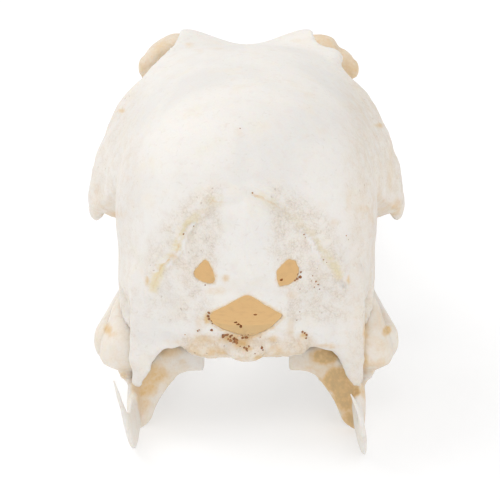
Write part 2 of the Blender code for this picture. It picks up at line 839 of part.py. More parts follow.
def build():
    clear_scene()
    cranium()
    upper_bill()
    mandible()
    bone("vomer", [vomer()], voxel=FINE_VOXEL, rounds=1)
    paired = {
        "lacrimal": lacrimal(),
        "quadrate": quadrate(),
        "jugal": [jugal()],
        "palatine": [palatine()],
        "pterygoid": [pterygoid()],
    }
    for kind, shapes in paired.items():
        colour = PALE_TAN if kind in ("lacrimal", "jugal") else IVORY
        bone(kind + "_right", shapes, voxel=FINE_VOXEL, rounds=2, kind=kind, colour=colour)
        other = [mirrored(shape) for shape in shapes]
        bone(kind + "_left", other, voxel=FINE_VOXEL, rounds=2, kind=kind, colour=colour)


build()
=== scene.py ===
# %% [markdown]
# # A duck's skull, seen from behind
# This is the clean, dry skull of a dabbling duck, standing on its lower jaw, with the camera
# looking at the back of its head. Everything is shaped in millimetres from the occipital
# condyle, the small knob that the neck turned on: +Y runs to the tip of the bill, +X to the
# bird's right and +Z up. Each bone is a few closed shapes, joined and then melted together,
# because bone has no sharp seams. Relief and colour come last, as functions of the place.

import json
import math

import bpy
import numpy as np
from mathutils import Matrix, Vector
from mathutils.bvhtree import BVHTree

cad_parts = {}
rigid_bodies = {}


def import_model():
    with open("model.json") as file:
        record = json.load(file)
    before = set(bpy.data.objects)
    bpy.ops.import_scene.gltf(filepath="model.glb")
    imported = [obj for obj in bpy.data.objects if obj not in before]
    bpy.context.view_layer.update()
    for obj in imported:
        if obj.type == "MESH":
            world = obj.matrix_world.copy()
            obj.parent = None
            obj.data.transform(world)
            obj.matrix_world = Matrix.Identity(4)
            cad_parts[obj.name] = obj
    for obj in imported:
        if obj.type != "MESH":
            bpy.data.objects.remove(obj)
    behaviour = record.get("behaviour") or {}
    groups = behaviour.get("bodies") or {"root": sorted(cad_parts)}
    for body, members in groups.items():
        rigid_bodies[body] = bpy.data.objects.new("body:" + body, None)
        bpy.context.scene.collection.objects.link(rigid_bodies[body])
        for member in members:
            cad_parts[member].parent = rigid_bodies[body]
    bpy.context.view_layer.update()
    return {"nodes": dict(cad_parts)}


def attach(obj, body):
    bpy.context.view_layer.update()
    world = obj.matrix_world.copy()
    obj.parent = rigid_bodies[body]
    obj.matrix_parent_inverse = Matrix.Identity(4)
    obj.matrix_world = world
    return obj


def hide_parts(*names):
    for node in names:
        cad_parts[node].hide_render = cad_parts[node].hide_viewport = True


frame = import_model()
print("loaded", len(frame["nodes"]), "bones")

# %% [markdown]
# ## Measures
# The driving sizes are the ones that the solids were built from. The widest place, behind the
# eyes, is about 32 mm, which fits a duck of mallard size, and all else is in proportion to it.

# %% Driving sizes, in millimetres
MM = 0.001
BOX_MIDDLE = np.array([-0.01, 50.08, -9.52])
BRAINCASE_MIDDLE = (0.0, 11.5, 10.8)
BRAINCASE_HALF = (12.9, 13.2, 13.3)
BRAINCASE_SQUARE = 2.3
BONE_WALL = 1.9
POSTORBITAL_HALF = 15.9
SEPTUM_HALF = 0.6
HINGE_Y = 48.6
BILL_TIP_Y = 109.0
BILL_HALF = 10.4
JAW_TIP_Y = 102.6
SUTURE = 0.32
RIM_HEIGHT = 1.3
THINNEST = 0.05
VIEW_DOWN = math.radians(18)
CAMERA_AWAY = 400.0
AIM_X = 0.36
AIM_UP = 9.9
print("braincase", [2 * h for h in BRAINCASE_HALF], "mm")

# %% [markdown]
# ## Curves and rings
# A bone's shape changes slowly along its length. A few stations say how wide and tall it is
# there, and a Catmull-Rom curve runs through them all, so nothing has to be drawn by hand.

# %% Stations and rings
def eased(stations, rows):
    """Values at evenly spread rows: a Catmull-Rom cubic through every station."""
    s = np.asarray(stations, float)
    s = np.vstack([2 * s[0] - s[1], s, 2 * s[-1] - s[-2]])
    t = np.linspace(0, len(s) - 3, rows)
    i = np.minimum(t.astype(int), len(s) - 4)
    u = (t - i)[:, None]
    a, b, c, d = s[i], s[i + 1], s[i + 2], s[i + 3]
    return b + 0.5 * ((c - a) * u + (2 * a - 5 * b + 4 * c - d) * u**2 + (3 * b - a - 3 * c + d) * u**3)


def ring_of(around, square):
    """A unit circle, each point divided by its p-norm: p = 2 is round, more is boxier."""
    turn = np.linspace(0, 2 * math.pi, around, endpoint=False)
    ring = np.stack([np.cos(turn), np.sin(turn)], axis=1)
    return ring / (np.abs(ring) ** square).sum(axis=1, keepdims=True) ** (1 / square)


def closed(grid):
    """Points and triangles of a grid of rings with a point at each end, facing outwards."""
    rows, around, _ = grid.shape
    points = np.vstack([grid.reshape(-1, 3), grid[0].mean(axis=0), grid[-1].mean(axis=0)])
    index = np.arange(rows * around).reshape(rows, around)
    a, b = index[:-1], index[1:]
    a_next, b_next = np.roll(a, -1, axis=1), np.roll(b, -1, axis=1)
    start, end = np.full(around, rows * around), np.full(around, rows * around + 1)
    faces = np.vstack(
        [
            np.stack([a, a_next, b_next], axis=-1).reshape(-1, 3),
            np.stack([a, b_next, b], axis=-1).reshape(-1, 3),
            np.stack([start, np.roll(index[0], -1), index[0]], axis=-1),
            np.stack([end, index[-1], np.roll(index[-1], -1)], axis=-1),
        ]
    )
    volume = np.linalg.det(points[faces] - points.mean(axis=0)).sum()
    return points, faces if volume > 0 else faces[:, ::-1]


print("a boxy ring reaches", round(float(ring_of(24, 4.0).max()), 2))

# %% [markdown]
# ## Four kinds of closed shape
# Rounded lumps are eggs. Bars, blades and prongs are a section carried along a curve. The roof
# of the skull is a curved slab, and the bill is a body whose widest line lies low down.

# %% Egg, limb, slab and bill shapes
# How far round its quarter circle each ring of a rounded end stands, in degrees
END_BEND = (30, 60, 84)


def ball(middle, radii, square=2.0, around=40):
    """An egg: every direction (rise, turn) from the middle, scaled until its p-norm is one."""
    rise = np.linspace(-math.pi / 2, math.pi / 2, around // 2 + 1)[1:-1, None]
    turn = np.linspace(0, 2 * math.pi, around, endpoint=False)[None, :]
    level = np.cos(rise)
    ray = np.stack([level * np.cos(turn), level * np.sin(turn), np.sin(rise) + 0 * turn], axis=-1)
    ray /= (np.abs(ray) ** square).sum(axis=-1, keepdims=True) ** (1 / square)
    return closed(np.asarray(middle) + ray * np.asarray(radii))


def limb(stations, rows=26, around=18, square=2.0, held=None, up=(0, 0, 1), ends=(1, 1)):
    """A superellipse ring carried along a curve, with rounded ends.

    A station is x, y, z, half-width, half-height. A section is square to the curve with its
    height towards up, or square to the axis named by held. An end closes as a quarter circle
    whose radius is the section's smaller half, times what ends says.
    """
    line = eased(stations, rows)
    centre, half = line[:, :3], np.maximum(line[:, 3:5], THINNEST)
    along = np.gradient(centre, axis=0)
    along /= np.linalg.norm(along, axis=1, keepdims=True)
    if held:
        k = "xyz".index(held)
        along = np.eye(3)[[k]] * np.sign(along[:, [k]])
        side = np.repeat(np.eye(3)[[1 if held == "x" else 0]], rows, axis=0)
        tall = np.repeat(np.eye(3)[[1 if held == "z" else 2]], rows, axis=0)
    else:
        side = np.cross(along, np.asarray(up, float))
        side /= np.linalg.norm(side, axis=1, keepdims=True)
        tall = np.cross(side, along)
    bend = np.radians(END_BEND)
    near, far = half[0].min(), half[-1].min()
    head = [(0, -near * ends[0] * math.sin(t), near * (1 - math.cos(t))) for t in bend[::-1]]
    tail = [(-1, far * ends[1] * math.sin(t), far * (1 - math.cos(t))) for t in bend]
    caps = [(centre[i] + along[i] * step, half[i] - less, side[i], tall[i]) for i, step, less in head + tail]
    first, last = zip(*caps[: len(bend)]), zip(*caps[len(bend) :])
    middle = (centre, half, side, tall)
    centre, half, side, tall = (np.vstack(rows) for rows in zip(first, middle, last))
    ring = ring_of(around, square)
    grid = centre[:, None] + side[:, None] * (ring[None, :, :1] * half[:, None, :1])
    return closed(grid + tall[:, None] * (ring[None, :, 1:] * half[:, None, 1:]))


def slab(stations, rows=60, around=45):
    """A curved slab across the skull: x = half-width * sin(s), top = edge + rise * cos(s) ** roundness.

    A station is y, half-width, z of the edges, z of the middle, roundness, thickness in the
    middle, thickness at the edges. The underside is the same curve, lower by the thicknesses.
    """
    line = eased(stations, rows)
    y, wide, z_edge, z_middle, round_by, thick, thin = (line[:, [i]] for i in range(7))
    s = np.linspace(-math.pi / 2, math.pi / 2, around)[None, :]
    crown = np.clip(np.cos(s), 0, 1) ** round_by
    top = z_edge + (z_middle - z_edge) * crown
    low_edge = z_edge - RIM_HEIGHT
    low = low_edge + (z_middle - thick - low_edge) * crown
    upper = np.stack([wide * np.sin(s), y + 0 * s, top], axis=-1)
    lower = np.stack([(wide - thin) * np.sin(s), y + 0 * s, low], axis=-1)[:, ::-1]
    return closed(np.concatenate([upper, lower], axis=1))


def domed(stations, rows, around=56, square=2.3):
    """A ring stretched up to the top above its widest line, and down to the underside below it.

    A station is y, half-width, z of the top, z of the widest line, z of the underside.
    """
    y, wide, top, edge, low = (column[:, None] for column in eased(stations, rows).T)
    across, rise = ring_of(around, square).T
    z = edge + rise * np.where(rise > 0, top - edge, edge - low)
    return closed(np.stack([wide * across, y + 0 * z, z], axis=-1))


print("an egg has", len(ball((0, 0, 0), (1, 1, 1))[1]), "faces")

# %% [markdown]
# ## Fields
# Bone is never quite smooth. A smooth random field gives dents and mottling of any size, and
# a few simple curves say where a ridge, a groove or a stain lies. On the back of the head
# they are drawn in x and v, where v runs up the picture, as seen from 18 degrees above.

# %% Noise, bumps and lines
LATTICE_SIDE = 32
LATTICE = np.random.default_rng(11).random((LATTICE_SIDE,) * 3)
# How far apart in the lattice two seeds lie
SEED_SHIFT = 7.31


def noise(points, size, seed=0):
    """A random lattice of the given spacing, eased between its corners, from -1 to 1."""
    place = points / size + seed * SEED_SHIFT
    low = np.floor(place).astype(int)
    t = place - low
    t = t * t * (3 - 2 * t)
    total = 0
    for corner in np.ndindex(2, 2, 2):
        weight = np.prod(np.where(corner, t, 1 - t), axis=1)
        total = total + weight * LATTICE[tuple(((low + corner) % LATTICE_SIDE).T)]
    return 2 * total - 1


def rough(points, size, seed=0):
    """Three noises, each half as large and half as strong as the one before."""
    return sum(noise(points, size / 2**i, seed + i) / 2**i for i in range(3)) / 1.75


def hump(value, middle, width):
    """exp(-((value - middle) / width) ** 2)"""
    return np.exp(-(((value - middle) / width) ** 2))


def window(low, high, value, blur):
    """One between low and high, eased to nothing over blur at each end."""
    rise = np.clip((value - low) / blur + 0.5, 0, 1)
    fall = np.clip((high - value) / blur + 0.5, 0, 1)
    return rise * rise * (3 - 2 * rise) * fall * fall * (3 - 2 * fall)


def picture_up(points):
    """v: how far up the picture a point is seen from 18 degrees above, from the condyle."""
    return points[:, 2] * math.cos(VIEW_DOWN) + points[:, 1] * math.sin(VIEW_DOWN)


def beside(x, v, line):
    """The distance to the nearest stretch of a line of corners, which side, and how far along."""
    line = np.asarray(line, float)
    best, side, along = np.full(len(x), 1e9), np.ones(len(x)), np.zeros(len(x))
    for i, ((x0, v0), (x1, v1)) in enumerate(zip(line[:-1], line[1:])):
        long = (x1 - x0) ** 2 + (v1 - v0) ** 2
        t = np.clip(((x - x0) * (x1 - x0) + (v - v0) * (v1 - v0)) / long, 0, 1)
        gap = np.hypot(x - x0 - t * (x1 - x0), v - v0 - t * (v1 - v0))
        nearer = gap < best
        best = np.where(nearer, gap, best)
        side = np.where(nearer, np.sign((x1 - x0) * (v - v0) - (v1 - v0) * (x - x0)), side)
        along = np.where(nearer, (i + t) / (len(line) - 1), along)
    return best, side, along


def in_picture(points):
    """x and v as the picture shows them: what lies deeper is drawn nearer to the middle."""
    depth = points[:, 1] * math.cos(VIEW_DOWN) - points[:, 2] * math.sin(VIEW_DOWN)
    nearer = CAMERA_AWAY / (CAMERA_AWAY + depth)
    return (points[:, 0] - AIM_X) * nearer + AIM_X, (picture_up(points) - AIM_UP) * nearer + AIM_UP


print("field check", round(float(noise(np.zeros((1, 3)), 1.0)[0]), 3))

# %% [markdown]
# ## Stains and painted shade
# Tissue that dried on the bone left tan marks. They have no form of their own, so they could be
# painted on a picture. Here each is one row of a short table, read off the photograph, and
# fades out from its middle like a bell. The tables of the jaw and its joints also paint shade
# in slits and recesses, in the same tan.

# %% Stains and painted shade that are placed by the picture
def stains_and_shade(points, normals, table):
    """The strongest of the stains, and of the painted shade in the tables that hold it, on what faces the
    camera.

    A row is x, v, half-width, half-height, strength: strength * exp(-spread ** 3), where spread
    is the distance from the middle, wavering with noise, in half-sizes.
    """
    facing = window(0.05, 2, normals @ (0, -math.cos(VIEW_DOWN), math.sin(VIEW_DOWN)), 0.2)
    x_seen, v_seen = in_picture(points)
    waver = 1 + 0.5 * rough(points, 1.1, 21)
    tan = np.zeros(len(points))
    for x, v, wide, tall, strength in table:
        spread = np.hypot((x_seen - x) / wide, (v_seen - v) / tall) * waver
        tan = np.maximum(tan, strength * np.exp(-(spread**3)))
    return tan * facing


print("a stain fades to", round(math.exp(-8), 4), "at twice its size")

# %% [markdown]
# ## Cutters and copies
# Holes are cut, as the real ones are gaps in a wall. The three holes at the back are drawn by
# a few corners, in x and in v, up the picture as seen from 18 degrees above, and are pushed in
# along the line of sight. Paired bones are mirrored.

# %% Cutters, mirror images and turns
def sight_drill(corners, start, end, narrow=0.93, ragged=0.05, seed=0):
    """A cutter along the line of sight: a ragged outline in x and v, pushed in from start to end.

    It narrows on its way in, so that a little of the wall's thickness is seen all round.
    """
    outline = eased(list(corners) + [corners[0]], 12 * len(corners) + 1)[:-1]
    flat = np.column_stack([outline, np.zeros(len(outline))])
    middle = outline.mean(axis=0)
    away = outline - middle
    away *= 1 + ragged * (noise(flat, 0.7, seed) + 0.6 * noise(flat, 0.25, seed + 1))[:, None]
    c, s = math.cos(VIEW_DOWN), math.sin(VIEW_DOWN)
    grid = []
    for t in np.linspace(0, 1, 6):
        x, v = (middle + away * (1 + (narrow - 1) * t)).T
        depth = start + (end - start) * t
        grid.append(np.stack([x, v * s + depth * c, v * c - depth * s], axis=1))
    return closed(np.array(grid))


def mirrored(shape):
    """The shape on the other side: -x, and its faces turned round so that they point outwards."""
    return shape[0] * (-1, 1, 1), shape[1][:, ::-1]


def both(shape):
    """A shape and its mirror image."""
    return [shape, mirrored(shape)]


def turned(shape, middle, degrees):
    """A shape turned about the X axis through a point, front end up."""
    c, s = math.cos(math.radians(degrees)), math.sin(math.radians(degrees))
    return (shape[0] - middle) @ np.array([[1, 0, 0], [0, c, s], [0, -s, c]]) + middle, shape[1]


print("a turned egg keeps", len(turned(ball((0, 0, 0), (1, 1, 1)), (0, 0, 0), 10)[1]), "faces")

# %% [markdown]
# ## Joining and melting
# A Boolean union makes one closed skin from the overlapping shapes, and a voxel remesh with a
# little smoothing melts its seams. Sculpting by hand would do too, but this is the same every
# time. The Manifold solver is used because the exact one takes several times as long here.

# %% From shapes to one melted bone
def put(name, shape, collection=None):
    """A shape's points and faces as a new object."""
    mesh = bpy.data.meshes.new(name)
    mesh.from_pydata(shape[0].tolist(), [], shape[1].tolist())
    obj = bpy.data.objects.new(name, mesh)
    (collection or bpy.context.scene.collection).objects.link(obj)
    return obj


def settle(obj):
    """Applies what the modifiers make of a mesh."""
    mesh = bpy.data.meshes.new_from_object(obj.evaluated_get(bpy.context.evaluated_depsgraph_get()))
    obj.modifiers.clear()
    obj.data = mesh


def combine(obj, shapes, operation):
    """Joins shapes to an object, or cuts them from it."""
    if not shapes:
        return
    gathered = bpy.data.collections.new(obj.name + "_shapes")
    bpy.context.scene.collection.children.link(gathered)
    for shape in shapes:
        put(obj.name + "_shape", shape, gathered)
    boolean = obj.modifiers.new("combine", "BOOLEAN")
    boolean.operation = operation
    boolean.operand_type = "COLLECTION"
    boolean.collection = gathered
    boolean.solver = "MANIFOLD"
    settle(obj)
    for part in list(gathered.objects):
        bpy.data.objects.remove(part)
    bpy.data.collections.remove(gathered)


def melt(obj, voxel, rounds):
    """A new even skin of small squares, smoothed a few times."""
    remesh = obj.modifiers.new("even", "REMESH")
    remesh.mode = "VOXEL"
    remesh.voxel_size = voxel
    smooth = obj.modifiers.new("smooth", "SMOOTH")
    smooth.factor = 0.5
    smooth.iterations = rounds
    settle(obj)


print("voxel skins come from bpy", bpy.app.version_string)

# %% [markdown]
# ## Reading, moving and keeping points
# Relief moves each point along its own normal. Loose scraps that a cut leaves are dropped by
# finding which points hang together.

# %% Points, normals and the largest piece
def points_of(mesh):
    """All points as one array, a row of x, y, z for each."""
    flat = np.empty(len(mesh.vertices) * 3)
    mesh.vertices.foreach_get("co", flat)
    return flat.reshape(-1, 3)


def normals_of(mesh):
    """The direction away from the surface at each point."""
    flat = np.empty(len(mesh.vertices) * 3)
    mesh.vertex_normals.foreach_get("vector", flat)
    return flat.reshape(-1, 3)


def triangles_of(mesh):
    """The faces as triangles, a row of three points' numbers for each."""
    mesh.calc_loop_triangles()
    flat = np.empty(len(mesh.loop_triangles) * 3, np.int64)
    mesh.loop_triangles.foreach_get("vertices", flat)
    return flat.reshape(-1, 3)


def set_points(mesh, points):
    """Moves all points at once."""
    mesh.vertices.foreach_set("co", np.ascontiguousarray(points).ravel())
    mesh.update()


def keep_largest(obj):
    """Each point takes the lowest label among its neighbours until none changes."""
    faces = triangles_of(obj.data)
    label = np.arange(len(obj.data.vertices))
    while True:
        spread = label.copy()
        np.minimum.at(spread, faces.ravel(), np.repeat(label[faces].min(axis=1), 3))
        spread = spread[spread]
        if (spread == label).all():
            break
        label = spread
    found, count = np.unique(label[faces[:, 0]], return_counts=True)
    kept = faces[label[faces[:, 0]] == found[count.argmax()]]
    used, index = np.unique(kept, return_inverse=True)
    whole = bpy.data.meshes.new(obj.name)
    whole.from_pydata(points_of(obj.data)[used].tolist(), [], index.reshape(-1, 3).tolist())
    obj.data = whole


print("the file holds", len(bpy.data.meshes), "meshes so far")

# %% [markdown]
# ## One recipe for a bone
# The same few steps make every bone: join, melt, cut, join what comes after the cuts, melt
# again lightly, then raise its relief. Its colour needs to know the place too, so each point
# stores how tan, how rough and how inner it is, and on the braincase how near the crest's line.

# %% The recipe and the stored fields
# Rounds of smoothing after the cuts
LIGHT_ROUNDS = 2


def bone(
    name, shapes, cuts=(), later=(), tips=(), holes=(), voxel=0.3, rounds=3, relief=None, fields=None
):
    """A finished bone in metres, with the fields that its material reads.

    Thin tips are joined after the melting, which would lose them. Holes are cut last of all, so
    that their edges stay crisp.
    """
    obj = put(name, shapes[0])
    combine(obj, shapes[1:], "UNION")
    melt(obj, voxel, rounds)
    if cuts or later:
        combine(obj, list(cuts), "DIFFERENCE")
        combine(obj, list(later), "UNION")
        melt(obj, voxel, LIGHT_ROUNDS)
    keep_largest(obj)
    combine(obj, list(tips), "UNION")
    points, normals = points_of(obj.data), normals_of(obj.data)
    if relief:
        set_points(obj.data, points + normals * relief(points, normals)[:, None])
    combine(obj, list(holes), "DIFFERENCE")
    obj.data.materials.clear()
    points, normals = points_of(obj.data), normals_of(obj.data)
    for field, values in (fields(points, normals) if fields else {}).items():
        stored = obj.data.attributes.new(field, "FLOAT", "POINT")
        stored.data.foreach_set("value", np.clip(values, 0, 1).astype(np.float32))
    placed = (points - BOX_MIDDLE) * MM
    placed[:, 2] = np.maximum(placed[:, 2], 0)
    set_points(obj.data, placed)
    obj.data.shade_smooth()
    print(name, len(triangles_of(obj.data)), "triangles")
    return obj


def finish_bone(obj, slot, *nodes):
    """The bone rides with the skull and stands for the plain solids of the same name."""
    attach(obj, "root")
    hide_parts(*nodes)


# %% [markdown]
# ## The braincase and its roof
# The braincase is an egg, flattened a little on every side. The frontal bones lie over it as
# one curved slab: domed above the brain, flared out behind the eyes, and pinched to a hollowed
# bridge between them. An egg and a slab are enough, because the relief follows later.

# %% Shapes of the braincase
braincase = ball(BRAINCASE_MIDDLE, BRAINCASE_HALF, square=BRAINCASE_SQUARE, around=96)

# The full side of the head above the ear
temple = ball((8.8, 10.6, 6), (3.9, 6.8, 6.2), square=2.6)

rim = POSTORBITAL_HALF
roof = slab(
    [
        (8, 9, 18.3, 23.7, 1, 3, 2.5), (13, 12.5, 13.4, 24.3, 0.92, 3, 3),
        (17, rim - 1.5, 9.7, 24.5, 0.94, 3.2, 3.6), (19.6, rim - 0.2, 8.3, 24.5, 1, 3.4, 4.2),
        (21.4, rim, 8.8, 24.4, 1, 3.6, 4), (23, rim - 1.9, 15.3, 24.2, 1.05, 3.4, 3.2),
        (24.6, 11.7, 18.7, 24, 1.15, 3.2, 2.4), (26.5, 10, 20.9, 23.7, 1.25, 3, 1.8),
        (28.3, 8.7, 22.2, 23.2, 1.5, 2.8, 1), (30.5, 7.5, 23.2, 22.5, 2.8, 2.7, 0.7),
        (33, 6.9, 23.6, 21.9, 4.2, 2.6, 0.5), (37, 6.1, 22.3, 20.9, 4.2, 2.6, 0.4),
        (41, 6, 20.6, 19.7, 3.4, 2.6, 0.4), (44.5, 6.6, 18.9, 18.6, 2.2, 2.8, 0.8),
        (HINGE_Y - SUTURE, 6.9, 17.1, 17.4, 1.5, 2.8, 2),
    ],
    rows=90,
)

# The prong that hangs forward and down from the back rim of the orbit
stations = [
    (14.3, 19.6, 10.8, 1.3, 1.8), (14.9, 21.6, 9, 1, 1.7), (15.3, 23.6, 7.3, 0.8, 1.3),
    (15.4, 25.6, 5.9, 0.5, 0.7),
]
postorbital_process = limb(stations)

# The roof's right rim bulges a little further over the orbit than its left one
rim_lobe = ball((8.2, 28.4, 21.7), (1.75, 3.2, 0.9))

print("roof spans", 2 * POSTORBITAL_HALF, "mm behind the eyes")

# %% [markdown]
# ## Between and under the eye sockets
# The eyes of a duck are so large that only a thin wall of bone stands between them. It rests on
# a rod that runs from the bill to the broad base of the braincase. Each is a limb: a section
# that changes its height and width along a straight or a bent line.

# %% Wall, rod and base
# The thin upright wall between the orbits
stations = [
    (0, 19, 12, 2.2, 11), (0, 24, 12, 0.9, 10.6), (0, 31, 11.6, SEPTUM_HALF, 10.4),
    (0, 38, 11.2, SEPTUM_HALF, 9.4), (0, 43, 11, 0.9, 7.8), (0, 46.6, 12, 1.5, 5.2),
]
septum = limb(stations, held="y", square=4)

# The rod under the septum
stations = [
    (0, 9, 0.2, 3.6, 2.3), (0, 16, 0, 2.4, 2), (0, 22, 0.6, 1.5, 1.5),
    (0, 32, 1.7, 1.1, 1.2), (0, 40, 2.8, 0.9, 1), (0, 45.2, 3.6, 0.8, 0.9),
]
rostrum = limb(stations)

# The small wall across the front of the orbit
stations = [
    (0, 44.6, 12.5, 0.8, 4.6), (3, 44.6, 13, 0.7, 3.9), (5, 44.9, 14.4, 0.6, 2.7), (6, 45, 15.6, 0.5, 1.4)
]
front_wall = limb(stations, held="x", square=3)

# The plate under the braincase, from behind the ears to the rod
stations = [
    (0, 2.3, 0.15, 6, 1.5), (0, 4.6, 0.3, 7.2, 2), (0, 8, 0, 5.8, 2.4),
    (0, 13, -0.2, 3.9, 2.2), (0, 18.5, 0, 1.8, 1.6),
]
base_plate = limb(stations, held="y", square=3.2)

# Where the pterygoid slides on the rod
pterygoid_pad = ball((1.5, 24.6, 0.2), (1.5, 3, 0.9))

print("the wall between the eyes is", 2 * SEPTUM_HALF, "mm thin")

# %% [markdown]
# ## Behind the ear
# On each side a plate of bone comes down behind the ear to a blunt point, and a thin sheet joins
# it to the braincase. In the middle sits the condyle, the knob that the first neck bone turned
# on. They are modelled apart from the egg of the braincase, and the melting joins them.

# %% Wings, ear walls and condyle
# The plate behind the ear, down to its blunt point
stations = [
    (3.4, 1.9, 4.2, 1, 3), (6.1, 2.3, 4, 1.1, 4.1), (7.4, 2.7, 3.8, 1.1, 4.3),
    (8.3, 2.9, 3.5, 1.1, 4.4), (9, 3, 3, 1.1, 4.9), (9.6, 3.1, 2.4, 1.05, 5.4),
    (9.9, 3.15, 2.05, 1, 5.75), (10.15, 3.2, 1.65, 1, 6.3), (10.5, 3.3, 1.5, 0.95, 6.4),
    (10.85, 3.4, 1.4, 0.85, 6.25),
]
wing = limb(stations, rows=70, held="x", square=3.4, ends=(1, 0.6))

# The ridge over the ear
stations = [
    (10.4, 4.6, 5.6, 1.3, 2.8), (11, 7.5, 5.6, 1.2, 2.2), (11.4, 11, 5.5, 1, 1.6),
    (11.9, 14.5, 4.8, 0.6, 0.8),
]
ear_wall = limb(stations)

# The thin sheet behind the ear: its free edge runs from the braincase down and in to the wing
stations = [
    (11.6, 8.4, 5.6, 0.6, 1.1), (11.7, 8, 4.2, 0.5, 1), (11.3, 7, 2.9, 0.45, 1.3),
    (10.7, 6, 1.7, 0.45, 1.5), (10.2, 5, 1.1, 0.45, 1.4), (10.1, 4.2, 0, 0.5, 1.1),
    (10.2, 3.6, -1.3, 0.5, 0.8),
]
ear_flange = limb(stations, rows=40, up=(1, 0, 0))

# The knob of the neck joint, on the low swelling that carries it
condyle = [ball((0.05, 0.7, 0), (2, 1.35, 1.2)), ball((0, 2.4, 0.7), (4.6, 1.7, 2))]

# The right wing of this skull stands a little further out than the left one
RIGHT_WING_OUT = 0.22
plate, plate_faces = wing
wings = [(plate + (RIGHT_WING_OUT, 0, 0), plate_faces), mirrored(wing)]
print("the right wing stands", RIGHT_WING_OUT, "mm further out")

# %% [markdown]
# ## Rooms and openings
# The eye sockets, the room for the brain, the ear and the three holes in the back wall are
# taken out. The holes keep the uneven outlines that bone has where thin sheets gave way.

# %% Cutters of the braincase
# An eye socket. The pair leaves the thin wall between the eyes standing
orbit = ball((11.3, 33, 10.2), (10.5, 10.7, 11.4), square=2.2, around=72)

# The room for the brain lies one wall's thickness inside the braincase
half = [size - BONE_WALL for size in BRAINCASE_HALF]
brain_room = ball(BRAINCASE_MIDDLE, half, square=BRAINCASE_SQUARE, around=72)

# x and v of the corners of each hole, counterclockwise
FORAMEN = [
    (-3.85, 3.5), (-3.6, 2.95), (-2.9, 2.4), (-1.5, 1.75), (0.2, 1.35), (1.6, 1.75), (2.7, 2.5),
    (3.6, 3.4), (3.3, 3.9), (1.8, 4.75), (0.1, 5.6), (-1.6, 4.8), (-3.2, 4.05),
]
SOFT_SPOT_LEFT = [
    (-3.95, 9.1), (-4.9, 8), (-5.05, 7.5), (-4.5, 7), (-3.7, 6.65), (-3.1, 6.75), (-3, 7.4),
    (-3.5, 8.6),
]
SOFT_SPOT_RIGHT = [
    (4.1, 9.15), (3.5, 8.6), (3, 7.9), (2.95, 7.2), (3.2, 6.45), (3.9, 6.45), (4.7, 7), (5.1, 7.9),
    (4.8, 8.8),
]
# From where to where along the line of sight the cutters of the back wall reach
DRILL_REACH = (-5, 4.2)

# The foramen and the two soft spots of the thin back wall
back_holes = [
    sight_drill(FORAMEN, *DRILL_REACH, narrow=0.9, ragged=0.02, seed=3),
    sight_drill(SOFT_SPOT_LEFT, *DRILL_REACH, narrow=0.86, ragged=0.09, seed=5),
    sight_drill(SOFT_SPOT_RIGHT, *DRILL_REACH, narrow=0.86, ragged=0.07, seed=6),
]

# The room of the middle ear, and the hole of the eye's nerve from side to side
ear_hollow = ball((11.6, 8.4, 0.2), (4.2, 3, 4.6), square=2.3)
optic_hole = limb([(-6, 27.4, 6.4, 1.9, 1.9), (6, 27.4, 6.4, 1.9, 1.9)], rows=4, held="x")

print("the foramen is", round(max(x for x, v in FORAMEN) - min(x for x, v in FORAMEN), 1), "mm across")

# %% [markdown]
# ## The back of the head
# Neck muscles left a crest that arches over the back of the head, a groove under it, rough
# scars and, in the middle, the smooth swelling over the cerebellum. Each is a function of x
# and v, so it can be set against the photograph directly.

# %% Lines of the crest, and the relief they give
CREST_LEFT = [
    (-1.6, 14.7), (-3.3, 14.7), (-4, 13.9), (-5.3, 12.8), (-6.25, 11.65), (-6.8, 9.9), (-8.3, 8.5),
    (-8.9, 7), (-9.3, 5.6),
]
CREST_RIGHT = [
    (0.5, 15.5), (2, 14.8), (3.75, 13.8), (4.9, 12.8), (6.7, 10.9), (7.6, 9.4), (8.8, 8.25),
    (9.3, 7),
]

# The half-width and the half-height of the field that the neck muscles held, and its middle
MUSCLE_FIELD = (9.0, 8.9)
MUSCLE_MIDDLE = 6.6
# Heights of the relief in millimetres
CREST_HIGH = 0.34
GROOVE_DEEP = 0.26
FIELD_DEEP = 0.5
SWELLING_HIGH = 1.6
PILLARS_HIGH = 0.18
KEEL_HIGH = 0.16
SCARS_ROUGH = 0.17
BASE_ROUGH = 0.2
DENTS_DEEP = 0.09
GRAIN_DEEP = 0.02
RIM_ROUGH = 0.16
SEAM_DEEP = 0.05
TORN_EDGE = 0.42


def shell_of(points, wall):
    """The braincase's p-norm, one on an egg that lies wall millimetres inside its surface."""
    half = np.array(BRAINCASE_HALF) - wall
    return (np.abs((points - BRAINCASE_MIDDLE) / half) ** BRAINCASE_SQUARE).sum(axis=1)


def back_face(points, normals):
    """One on the outside of the back wall, nothing on its inside and elsewhere."""
    facing = window(0.1, 2, 0.4 * normals[:, 2] - normals[:, 1], 0.3)
    return (shell_of(points, 0) > 0.9) * window(-9, 5, points[:, 1], 3) * facing


def crest_fields(points):
    """Signed distances to the crest (more is inside its arch), how far along it, and the reach."""
    x, v = points[:, 0], picture_up(points)
    left, left_side, left_along = beside(x, v, CREST_LEFT)
    right, right_side, right_along = beside(x, v, CREST_RIGHT)
    on_left = left < right
    signed = np.where(on_left, left * left_side, -right * right_side)
    along = np.where(on_left, -left_along, right_along)
    reach = np.hypot(x / MUSCLE_FIELD[0], np.clip(v - MUSCLE_MIDDLE, 0, 99) / MUSCLE_FIELD[1])
    return signed, along, reach


